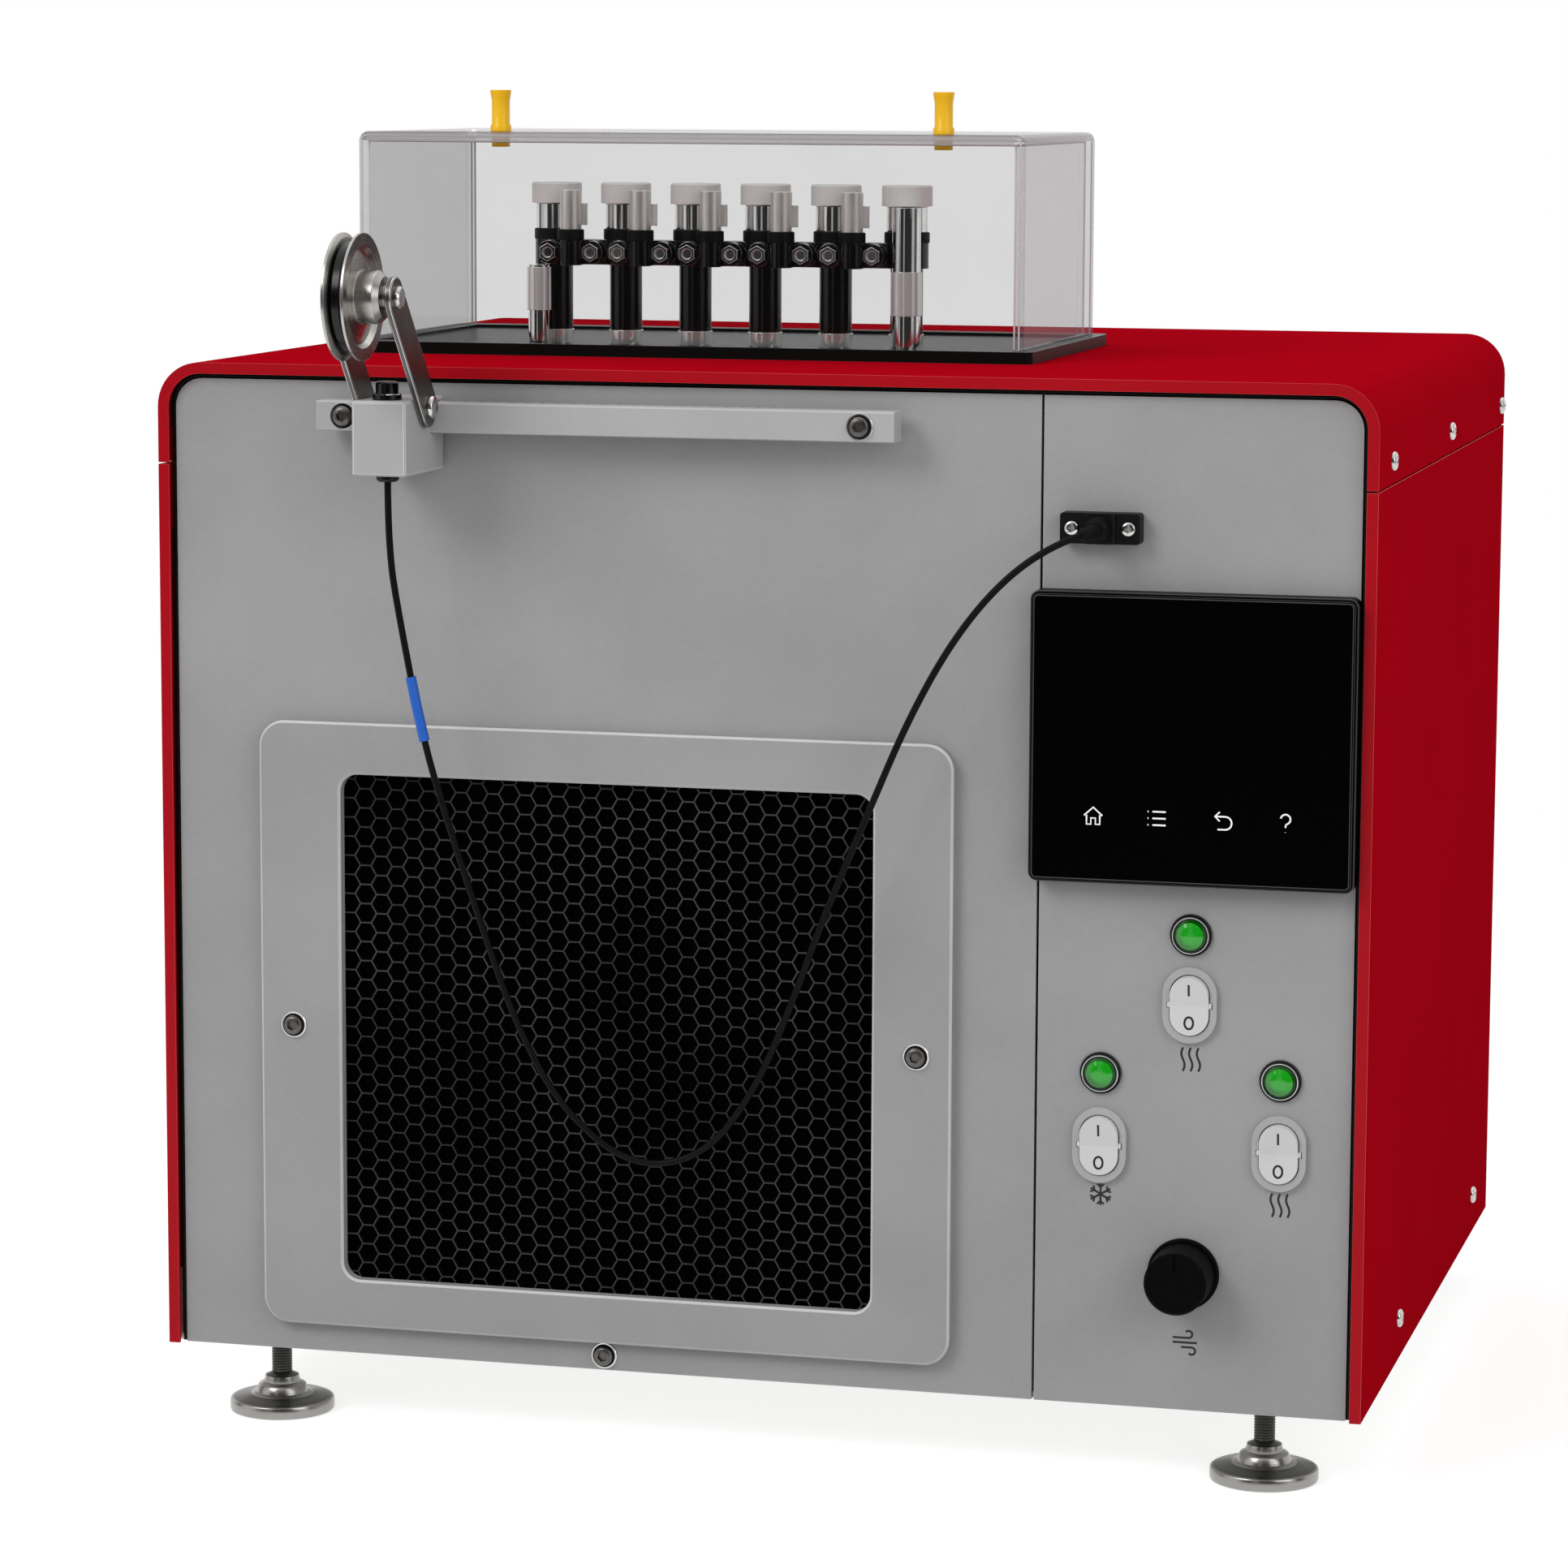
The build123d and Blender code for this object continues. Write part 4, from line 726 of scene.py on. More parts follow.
# Painted highlight: bright plated rings round the washers and lamps, and the fork arms' softened edges.
RIM_HIGHLIGHT = Plated("painted_rim_highlight", grey(0.62), 0.18)
# Painted shade: the grille's cell walls are near black, darker than their front faces, standing for the
# shade inside the cells.
MESH_WALL_SHADE = Paint("black_mesh", grey(0.004), grey(0.002), 0.6, 0.0, 0.05, gloss=0.03)
MESH_EDGE = Paint("black_mesh_edge", (0.07, 0.07, 0.073), (0.022, 0.022, 0.024), 0.5, 0.0, 0.05, gloss=0.06)
FILTER_FOAM = Foam("filter_foam", grey(0.001))
JACKET_FOAM = Foam("jacket_foam", grey(0.03), 500.0)
BLACK_PLASTIC = Moulded("black_plastic", grey(0.005), 0.42, 0.08, 2600.0, grey(0.03), gloss=0.12)
KNOB_PLASTIC = Moulded("knob_plastic", grey(0.002), 0.45, 0.12, 3200.0, grey(0.008), gloss=0.035)
DISPLAY_CASE = Moulded("display_case", grey(0.002), 0.35, 0.05, 2600.0, grey(0.006), gloss=0.05)
DISPLAY_GLASS = Moulded("display_glass", grey(0.001), 0.12, 0.0, 900.0, grey(0.002), 0.05, gloss=0.01)
# Painted highlight: lighter grey on the softened edges of black plastic and glass parts.
DARK_EDGE_HIGHLIGHT = Moulded("dark_edge_highlight", (0.05, 0.052, 0.055), 0.18)
ARM_STEEL = Brushed("dark_steel", (0.15, 0.142, 0.135), 0.26, (2500.0, 60.0, 60.0), 0.35)
SENSOR_BLACK = Plated("sensor_black", grey(0.035), 0.25)
CABLE_BLACK = Moulded("cable_jacket", grey(0.003), 0.45, 0.06, 2600.0, grey(0.02), gloss=0.1)
SLEEVE_BLUE = Moulded("blue_sleeve", (0.012, 0.125, 0.60), 0.36, 0.05, 2000.0, (0.2, 0.3, 0.6), 0.1)
LAMP_GREEN = Lens("green_lens", (0.0008, 0.085, 0.002), (0.006, 0.38, 0.008), 0.05)
SILVER_PLASTIC = Moulded("silver_plastic", (0.46, 0.46, 0.465), 0.3, 0.04, 2600.0, grey(0.3), 0.2, 0.2)
WHITE_PLASTIC = Moulded(
    "white_plastic", (0.74, 0.735, 0.735), 0.25, 0.03, 2600.0, (0.6, 0.6, 0.58), 0.3, 0.2
)
# Painted shade: grey tint that darkens the cover roof's rounded edges.
ROOF_BEND_SHADE = Acrylic("roof_bend_shade", (0.56, 0.54, 0.56), (0.44, 0.40, 0.43), 0.38, 0.2)
# Painted highlight: pale, nearly opaque lines that stand for glints along the cover's corners.
CORNER_GLINT = Acrylic("painted_corner_glint", (0.96, 0.93, 0.95), (0.60, 0.50, 0.56), 0.8, 0.15)
TRAY_BLACK = Moulded(
    "tray_black", (0.004, 0.0045, 0.0045), 0.3, 0.0, 900.0, grey(0.01), 0.02, gloss=0.07, handling=0.01,
)
CLEAR_ACRYLIC = Acrylic("clear_acrylic", (0.012, 0.012, 0.014), (0.40, 0.355, 0.395), 0.09, 0.5)
# Painted highlight: near-white, more opaque acrylic on the cover's softened edges.
ACRYLIC_EDGE_HIGHLIGHT = Acrylic("acrylic_edge_highlight", (0.98, 0.94, 0.96), (0.44, 0.33, 0.38), 0.62, 0.3)
YELLOW_PLASTIC = Moulded(
    "yellow_plastic", (0.98, 0.56, 0.006), 0.28, 0.03, 2600.0, (0.98, 0.65, 0.1), 0.2, 0.2, 0.2
)
CHROME = Plated("chrome_tube", BAND_WHITE, 0.06)
RING_STEEL = Plated("ring_steel", (0.95, 0.95, 0.94), 0.09, metal=0.72)
# Painted highlight: bright metal on the black clamp bar's softened edges.
CLAMP_EDGE_HIGHLIGHT = Plated("clamp_edge_highlight", grey(0.42), 0.16)
FITTING_STEEL = Plated("fitting_steel", grey(0.36), 0.14)
# Painted highlight: near-white metal on the clamp fittings' softened edges.
FITTING_EDGE_HIGHLIGHT = Plated("fitting_edge_highlight", grey(0.98), 0.1, metal=0.5)
BLACK_TUBE = Moulded("black_tube", grey(0.002), 0.13, 0.02, 900.0, grey(0.01), 0.1, gloss=0.4)
BOOT_RUBBER = Moulded("boot_rubber", grey(0.004), 0.42, 0.1, 2600.0, grey(0.02), gloss=0.15)
CAP_GREY = Moulded("satin_grey", (0.86, 0.85, 0.83), 0.4, 0.04, 2600.0, (0.7, 0.7, 0.68), 0.15, 0.1)
SIDE_GREY = Brushed("side_grey", (0.92, 0.91, 0.88), 0.34, (900.0, 900.0, 60.0), 0.12)
BLOCK_METAL = Brushed("block_aluminium", (0.62, 0.62, 0.64), 0.35)
PANEL_INK = Ink("panel_ink", grey(0.004))
ICON_INK = Ink("icon_ink", grey(0.85), 0.5, 0.25)


# ---------------------------------------------------------------- mesh tools
@dataclass(frozen=True)
class Softening:
    """How a sharp edge is rounded."""

    width: float = 0.3
    segments: int = 2
    limit: float = SMOOTH_ANGLE

    def apply(self, piece: bpy.types.Object, slot_index: int = -1) -> None:
        """Adds a bevel to a piece.

        Args:
            piece: The piece.
            slot_index: Material slot of the bevel's faces, or -1.
        """
        bevel = piece.modifiers.new("soft_edge", "BEVEL")
        bevel.width = self.width * MM
        bevel.segments = self.segments
        bevel.limit_method = "ANGLE"
        bevel.angle_limit = math.radians(self.limit)
        bevel.use_clamp_overlap = True
        bevel.harden_normals = True
        bevel.material = slot_index


def rounded_faces(mesh: bpy.types.Mesh) -> list[bool]:
    """Tells which faces belong to a curved surface, from the solid's own normals.

    Args:
        mesh: The solid's mesh.

    Returns:
        One answer for each face.
    """
    normals = mesh.corner_normals
    return [
        any(normals[corner].vector.dot(face.normal) < LEVEL for corner in face.loop_indices)
        for face in mesh.polygons
    ]


def dress(
    node: str, finish: Finish, edge: Optional[Finish] = None, soft: Optional[Softening] = Softening(),
    slope_highlight: bool = False,
) -> bpy.types.Object:
    """Gives a solid of the frame its finish and soft edges.

    Args:
        node: The solid's name.
        finish: Its finish.
        edge: Finish of the softened edges, if it differs; each one given paints a highlight along the
            edges.
        soft: How its edges are softened, if they are.
        slope_highlight: Whether faces that lean between two axes take the painted edge highlight too.

    Returns:
        The solid's object.
    """
    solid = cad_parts[node]
    mesh = solid.data
    mesh.materials.clear()
    mesh.materials.append(finish.material())
    if edge is not None:
        mesh.materials.append(edge.material())
    # Painted highlight: faces that lean between two axes, such as chamfers, take the pale edge finish.
    least, most = LEANING
    highlighted_faces = [1 if slope_highlight and least < abs(face.normal.y) < most else 0 for face in mesh.polygons]
    mesh.polygons.foreach_set("material_index", highlighted_faces)
    mesh.polygons.foreach_set("use_smooth", rounded_faces(mesh))
    if "custom_normal" in mesh.attributes:
        mesh.attributes.remove(mesh.attributes["custom_normal"])
    weld = solid.modifiers.new("join", "WELD")
    weld.merge_threshold = WELD_REACH * MM
    whole = solid.modifiers.new("whole_faces", "DECIMATE")
    whole.decimate_type = "DISSOLVE"
    whole.angle_limit = math.radians(FLAT_ANGLE)
    whole.delimit = {"MATERIAL"}
    if soft is not None:
        # The bevel's faces take the edge finish, which paints a highlight along the edges.
        soft.apply(solid, 1 if edge is not None else -1)
    else:
        split = solid.modifiers.new("crisp_edges", "EDGE_SPLIT")
        split.split_angle = math.radians(CRISP_ANGLE)
    log.info("dressed %s in %s", node, finish.name)
    return solid


def smooth_by_angle(bm: bmesh.types.BMesh) -> None:
    """Shades faces smooth and keeps sharp edges crisp.

    Args:
        bm: The mesh.
    """
    sharp = math.radians(SMOOTH_ANGLE)
    for face in bm.faces:
        face.smooth = True
    for edge in bm.edges:
        edge.smooth = len(edge.link_faces) == 2 and edge.calc_face_angle(math.pi) < sharp


def settle(
    name: str,
    bm: bmesh.types.BMesh,
    finishes: Sequence[Finish],
    body: str,
    place: Optional[Matrix] = None,
    soft: Optional[Softening] = None,
    mend: bool = True,
) -> bpy.types.Object:
    """Turns a bmesh into a finished piece that rides on a body.

    Args:
        name: The piece's name.
        bm: Its mesh, which is freed.
        finishes: Finishes of its material slots.
        body: Body that it moves with.
        place: Matrix that seats it, if it isn't seated yet.
        soft: How its edges are softened, if they are.
        mend: Whether doubles are merged and normals recalculated.

    Returns:
        The new object.
    """
    if place is not None:
        bmesh.ops.transform(bm, matrix=place, verts=bm.verts)
    if mend:
        bmesh.ops.remove_doubles(bm, verts=bm.verts, dist=DOUBLE_REACH * MM)
        bmesh.ops.recalc_face_normals(bm, faces=bm.faces)
    smooth_by_angle(bm)
    mesh = bpy.data.meshes.new(name)
    bm.to_mesh(mesh)
    bm.free()
    for finish in finishes:
        mesh.materials.append(finish.material())
    piece = put(name, mesh)
    if soft is not None:
        soft.apply(piece)
    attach(piece, body)
    log.info("made %s on %s: %d faces", name, body, len(mesh.polygons))
    return piece


def spun(profile: Profile, steps: int) -> bmesh.types.BMesh:
    """Turns a profile round Z.

    Args:
        profile: Radius and height of each point, in millimetres.
        steps: Faces round the axis.

    Returns:
        The turned mesh.
    """
    bm = bmesh.new()
    points = [bm.verts.new((radius, 0.0, height)) for radius, height in profile]
    edges = [bm.edges.new(pair) for pair in zip(points, points[1:])]
    bmesh.ops.spin(
        bm, geom=points + edges, cent=(0, 0, 0), axis=(0, 0, 1), angle=FULL_TURN, steps=steps,
        use_merge=True,
    )
    bmesh.ops.remove_doubles(bm, verts=bm.verts, dist=0.0005)
    bmesh.ops.recalc_face_normals(bm, faces=bm.faces)
    return bm


def ring(profile: Profile, steps: int = 48) -> bmesh.types.BMesh:
    """Turns a closed profile round Z.

    Args:
        profile: Radius and height of each corner, in millimetres.
        steps: Faces round the axis.

    Returns:
        The ring.
    """
    return spun([*profile, profile[0]], steps)


def add(target: bmesh.types.BMesh, extra: bmesh.types.BMesh, place: Optional[Matrix] = None) -> None:
    """Moves one mesh into another.

    Args:
        target: Mesh that receives it.
        extra: Mesh that is added and freed.
        place: Matrix that places it, if it isn't placed yet.
    """
    if place is not None:
        bmesh.ops.transform(extra, matrix=place, verts=extra.verts)
    carrier = bpy.data.meshes.new("carrier")
    extra.to_mesh(carrier)
    extra.free()
    target.from_mesh(carrier)
    bpy.data.meshes.remove(carrier)


def carve(body: bmesh.types.BMesh, tool: bmesh.types.BMesh) -> bmesh.types.BMesh:
    """Cuts one closed mesh out of another.

    Args:
        body: Mesh that is cut, and freed.
        tool: Mesh that cuts, and is freed.

    Returns:
        The cut mesh.
    """
    shapes = []
    for label, bm in (("body", body), ("tool", tool)):
        mesh = bpy.data.meshes.new(label)
        bm.to_mesh(mesh)
        bm.free()
        shapes.append(put(label, mesh))
    cut = shapes[0].modifiers.new("cut", "BOOLEAN")
    cut.operation = "DIFFERENCE"
    cut.solver = "EXACT"
    cut.object = shapes[1]
    done = bmesh.new()
    done.from_object(shapes[0], bpy.context.evaluated_depsgraph_get())
    for shape in shapes:
        mesh = shape.data
        bpy.data.objects.remove(shape)
        bpy.data.meshes.remove(mesh)
    return done


def prism(sides: int, radius: float, low: float, high: float) -> bmesh.types.BMesh:
    """Upright prism on a regular polygon.

    Args:
        sides: Sides of the polygon.
        radius: Distance from its centre to its corners.
        low: Lower height.
        high: Upper height.

    Returns:
        The prism.
    """
    bm = bmesh.new()
    place = Matrix.Translation((0, 0, low))
    made = bmesh.ops.create_circle(bm, cap_ends=True, segments=sides, radius=radius, matrix=place)
    floor = list(made["verts"][0].link_faces)
    raised = bmesh.ops.extrude_face_region(bm, geom=floor)
    tops = [item for item in raised["geom"] if isinstance(item, bmesh.types.BMVert)]
    bmesh.ops.translate(bm, vec=(0, 0, high - low), verts=tops)
    bmesh.ops.recalc_face_normals(bm, faces=bm.faces)
    return bm


def bar(size: Point, centre: Point) -> bmesh.types.BMesh:
    """Square bar.

    Args:
        size: Its length along X, Y and Z.
        centre: Its centre.

    Returns:
        The bar.
    """
    bm = bmesh.new()
    place = Matrix.Translation(centre) @ Matrix.Diagonal((*size, 1.0))
    bmesh.ops.create_cube(bm, size=1.0, matrix=place)
    return bm


def arc(centre: tuple[float, float], radius: float, start: float, end: float, steps: int = 14) -> Stroke:
    """Points along an arc.

    Args:
        centre: Its centre.
        radius: Its radius.
        start: First angle in degrees.
        end: Last angle in degrees.
        steps: Runs along it.

    Returns:
        The points.
    """
    angles = [math.radians(start + (end - start) * step / steps) for step in range(steps + 1)]
    return [(centre[0] + radius * math.cos(a), centre[1] + radius * math.sin(a)) for a in angles]


def put(name: str, data: Any) -> bpy.types.Object:
    """Adds an object to the scene.

    Args:
        name: Its name.
        data: Its mesh, curve, lamp or camera.

    Returns:
        The object.
    """
    made = bpy.data.objects.new(name, data)
    bpy.context.scene.collection.objects.link(made)
    return made


def draw_curve(lines: Sequence[Sequence[Sequence[float]]], kind: str = "POLY") -> bpy.types.Object:
    """Draws lines of points as one curve.

    Args:
        lines: The points of each line.
        kind: POLY for straight runs or NURBS for a smooth line.

    Returns:
        The curve's object.
    """
    curve = bpy.data.curves.new("drawn", "CURVE")
    curve.dimensions = "3D"
    curve.use_fill_caps = True
    for line in lines:
        spline = curve.splines.new(kind)
        spline.points.add(len(line) - 1)
        for point, spot in zip(spline.points, line):
            point.co = (*spot, 1.0)
    return put("drawn", curve)


def take_mesh(holder: bpy.types.Object, radius: float = 0.0, detail: int = 4) -> bpy.types.Mesh:
    """Turns a curve's object into a mesh and removes it.

    Args:
        holder: The curve's object.
        radius: Radius of the bar along it, or 0 for its bare line.
        detail: Resolution of the bar's section.

    Returns:
        The mesh.
    """
    curve = holder.data
    curve.bevel_depth = radius
    curve.bevel_resolution = detail
    graph = bpy.context.evaluated_depsgraph_get()
    mesh = bpy.data.meshes.new_from_object(holder.evaluated_get(graph))
    bpy.data.objects.remove(holder)
    bpy.data.curves.remove(curve)
    return mesh


def sweep(
    lines: Sequence[Sequence[Sequence[float]]], radius: float, detail: int
) -> bmesh.types.BMesh:
    """Round bars along lines of points.

    Args:
        lines: The points of each line.
        radius: The bars' radius.
        detail: Resolution of their section.

    Returns:
        The bars.
    """
    mesh = take_mesh(draw_curve(lines), radius, detail)
    bm = bmesh.new()
    bm.from_mesh(mesh)
    bpy.data.meshes.remove(mesh)
    return bm


def print_marks(strokes: Sequence[Stroke], width: float, thickness: float) -> bmesh.types.BMesh:
    """Round-ended strokes drawn in X and Z, flattened along Y.

    Args:
        strokes: Points of each stroke, in millimetres.
        width: Width of the pen.
        thickness: How far the ink stands out at its middle.

    Returns:
        The strokes as one closed mesh each.
    """
    bm = sweep([[(x, 0.0, z) for x, z in stroke] for stroke in strokes], width / 2, 2)
    bmesh.ops.scale(bm, vec=(1.0, 2 * thickness / width, 1.0), verts=bm.verts)
    return bm


# ---------------------------------------------------------------- screws
class Drive(Enum):
    """Recess of a screw head."""

    HEXAGON = "hexagon"
    CROSS = "cross"


@dataclass
class Screw:
    """A screw head drawn along Z, with its seat at zero height."""

    head_radius: float
    head_height: float
    drive: Drive
    drive_size: float
    drive_depth: float
    crown: float
    steps: int = 48
    shoulder: float = 0.75
    fullness: float = 0.6
    dome_angles: tuple[float, ...] = (25.0, 45.0, 62.0, 76.0)
    slot_share: float = 0.45
    bore_share: float = 0.8

    def head(self) -> bmesh.types.BMesh:
        """Domed head with its recess, in millimetres.

        Returns:
            The head.
        """
        radius, height = self.head_radius, self.head_height
        rim = height * (1 - self.crown) * self.shoulder
        profile = [(0.0, 0.0), (radius, 0.0), (radius, rim)]
        profile += [
            (radius * math.cos(a) ** self.fullness, rim + (height - rim) * math.sin(a))
            for a in map(math.radians, self.dome_angles)
        ]
        profile.append((0.0, height))
        head = spun(profile, self.steps)
        for tool in self._recess():
            head = carve(head, tool)
        return head

    def _recess(self) -> list[bmesh.types.BMesh]:
        """Shapes that cut the drive.

        Returns:
            One prism or two crossed bars.
        """
        low, high = self.head_height - self.drive_depth, self.head_height + 1.0
        if self.drive is Drive.HEXAGON:
            return [prism(6, self.drive_size, low, high)]
        centre, size = (0.0, 0.0, (low + high) / 2), high - low
        wide, narrow = 2 * self.drive_size, self.drive_size * self.slot_share
        return [bar((wide, narrow, size), centre), bar((narrow, wide, size), centre)]

    def washer(self, radius: float, thickness: float) -> bmesh.types.BMesh:
        """Washer under the head, with a rounded rim.

        Args:
            radius: Its outer radius.
            thickness: Its height.

        Returns:
            The washer, in millimetres.
        """
        bore, low_edge, top_edge = self.head_radius * self.bore_share, 0.25, 0.3
        profile = [
            (bore, 0.0), (radius - low_edge, 0.0), (radius, low_edge),
            (radius, thickness - top_edge), (radius - top_edge, thickness), (bore, thickness),
        ]
        return ring(profile, self.steps)


# ---------------------------------------------------------------- case
@dataclass
class CaseShell:
    """Red hood and side walls, rear panel, floor and their screws."""

    hood_screw_y: tuple[float, ...] = (41.0, 237.5, 434.0)
    hood_screw_z: float = 415.0
    floor_screw_y: tuple[float, ...] = (116.0, 386.0)
    floor_screw_z: float = 20.0
    first_twist: float = 17.0
    twist_step: float = 31.0
    screw: Screw = field(default_factory=lambda: Screw(4.2, 2.4, Drive.CROSS, 2.2, 1.3, 0.6))

    def build(self) -> None:
        """Dresses the sheets and makes the side screws."""
        sheet_edge = Softening(0.45, 2)
        for node in ("top_cover", "left_side_panel", "right_side_panel"):
            dress(node, RED_PAINT, RED_EDGE_HIGHLIGHT, sheet_edge)
        dress("rear_panel", RED_PAINT, RED_EDGE_HIGHLIGHT, Softening(0.3, 1))
        dress("base_plate", ZINC)
        self._screws()

    def _screws(self) -> None:
        """Cross-recess pan heads down both sides."""
        heads = bmesh.new()
        rows = ((self.hood_screw_y, self.hood_screw_z), (self.floor_screw_y, self.floor_screw_z))
        for y_places, z in rows:
            for index, y in enumerate(y_places):
                turn = twist(self.first_twist + self.twist_step * index)
                for x, facing in ((0, Facing.LEFT), (CASE.width, Facing.RIGHT)):
                    add(heads, self.screw.head(), CASE.place(x, y, z, facing) @ turn)
        piece = settle("side_screw_heads", heads, [BRIGHT_SCREW], "case")
        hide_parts("case_screws")


@dataclass
class FrontPanels:
    """Grey panels and grille frame with their socket screws."""

    panel_y: float = 4.0
    frame_y: float = -2.0
    rail_y: float = -16.0
    rail_screw_z: float = 428.65
    rail_screw_x: tuple[float, float] = (93.5, 327.9)
    frame_screw_x: tuple[float, float] = (62.9, 351.7)
    frame_screw_z: float = 151.95
    lower_screw: tuple[float, float] = (207.3, 6.75)
    gap_inset: float = 6.1
    gap_bend: float = 12.5
    gap_depth: float = 5.6
    gap_shade_radius: float = 1.05
    washer_radius: float = 6.0
    washer_height: float = 0.8
    washer_inset: float = 0.7
    rim_width: float = 0.75
    rim_edge: tuple[float, float] = (0.25, 0.7)
    first_twist: float = 11.0
    twist_step: float = 23.0
    screw: Screw = field(default_factory=lambda: Screw(4.4, 2.6, Drive.HEXAGON, 2.3, 1.6, 0.35))

    def build(self) -> None:
        """Dresses the sheets and makes the front screws."""
        dress("left_front_panel", GREY_PAINT, GREY_EDGE_HIGHLIGHT, Softening(0.3, 2))
        dress("right_front_panel", GREY_PAINT, GREY_EDGE_HIGHLIGHT, Softening(0.3, 2))
        self._gap_shade()
        # Painted highlight: the grille frame's leaning chamfers take the pale edge finish too.
        dress("grille_frame", GREY_PAINT, GREY_EDGE_HIGHLIGHT, Softening(0.25, 2, 25.0), slope_highlight=True)
        self._screws()

    def _gap_shade(self) -> None:
        """Painted shade: black strip in the gap round the panels, standing for the shade in that gap."""
        inset, bend = self.gap_inset, self.gap_bend
        right, top = CASE.width - inset, CASE.height - inset
        left_turn = arc((inset + bend, top - bend), bend, 180, 90)
        right_turn = arc((right - bend, top - bend), bend, 90, 0)
        route = [(inset, 0.4), *left_turn, *right_turn, (right, 0.4)]
        shade_strip = sweep([[CASE.at(x, self.gap_depth, z) for x, z in route]], self.gap_shade_radius * MM, 3)
        settle("panel_gap_shade", shade_strip, [BOOT_RUBBER], "case")

    def _places(self) -> list[Matrix]:
        """Seats of the socket screws.

        Returns:
            One matrix for each screw.
        """
        rail = [(x, self.rail_y, self.rail_screw_z) for x in self.rail_screw_x]
        grille = [(x, self.frame_y, self.frame_screw_z) for x in self.frame_screw_x]
        lower = [(self.lower_screw[0], self.panel_y, self.lower_screw[1])]
        return [CASE.place(*spot, Facing.FRONT) for spot in rail + grille + lower]

    def _screws(self) -> None:
        """Black washers with a painted highlight ring round them, and dark heads with sockets."""
        washers, glint_rings, heads = bmesh.new(), bmesh.new(), bmesh.new()
        for index, seat in enumerate(self._places()):
            turn = twist(self.first_twist + self.twist_step * index)
            lift = Matrix.Translation((0, 0, self.washer_height))
            radius = self.washer_radius - self.washer_inset
            add(washers, self.screw.washer(radius, self.washer_height), seat)
            add(glint_rings, self._washer_highlight(), seat)
            add(heads, self.screw.head(), seat @ lift @ turn)
        settle("front_screw_washers", washers, [BLACK_PLASTIC], "case")
        settle("front_screw_highlight_rings", glint_rings, [RIM_HIGHLIGHT], "case")
        soft = Softening(0.12, 1, 50.0)
        piece = settle("front_screw_heads", heads, [ARM_STEEL], "case", soft=soft)
        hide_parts("front_screws")

    def _washer_highlight(self) -> bmesh.types.BMesh:
        """Painted highlight: bright ring round a washer.

        Returns:
            The ring, in millimetres.
        """
        inner, outer, top = self.washer_radius - self.rim_width, self.washer_radius, self.washer_height
        inset, share = self.rim_edge
        profile = [(inner, 0.0), (outer, 0.0), (outer, top * share), (outer - inset, top), (inner, top)]
        return ring(profile)


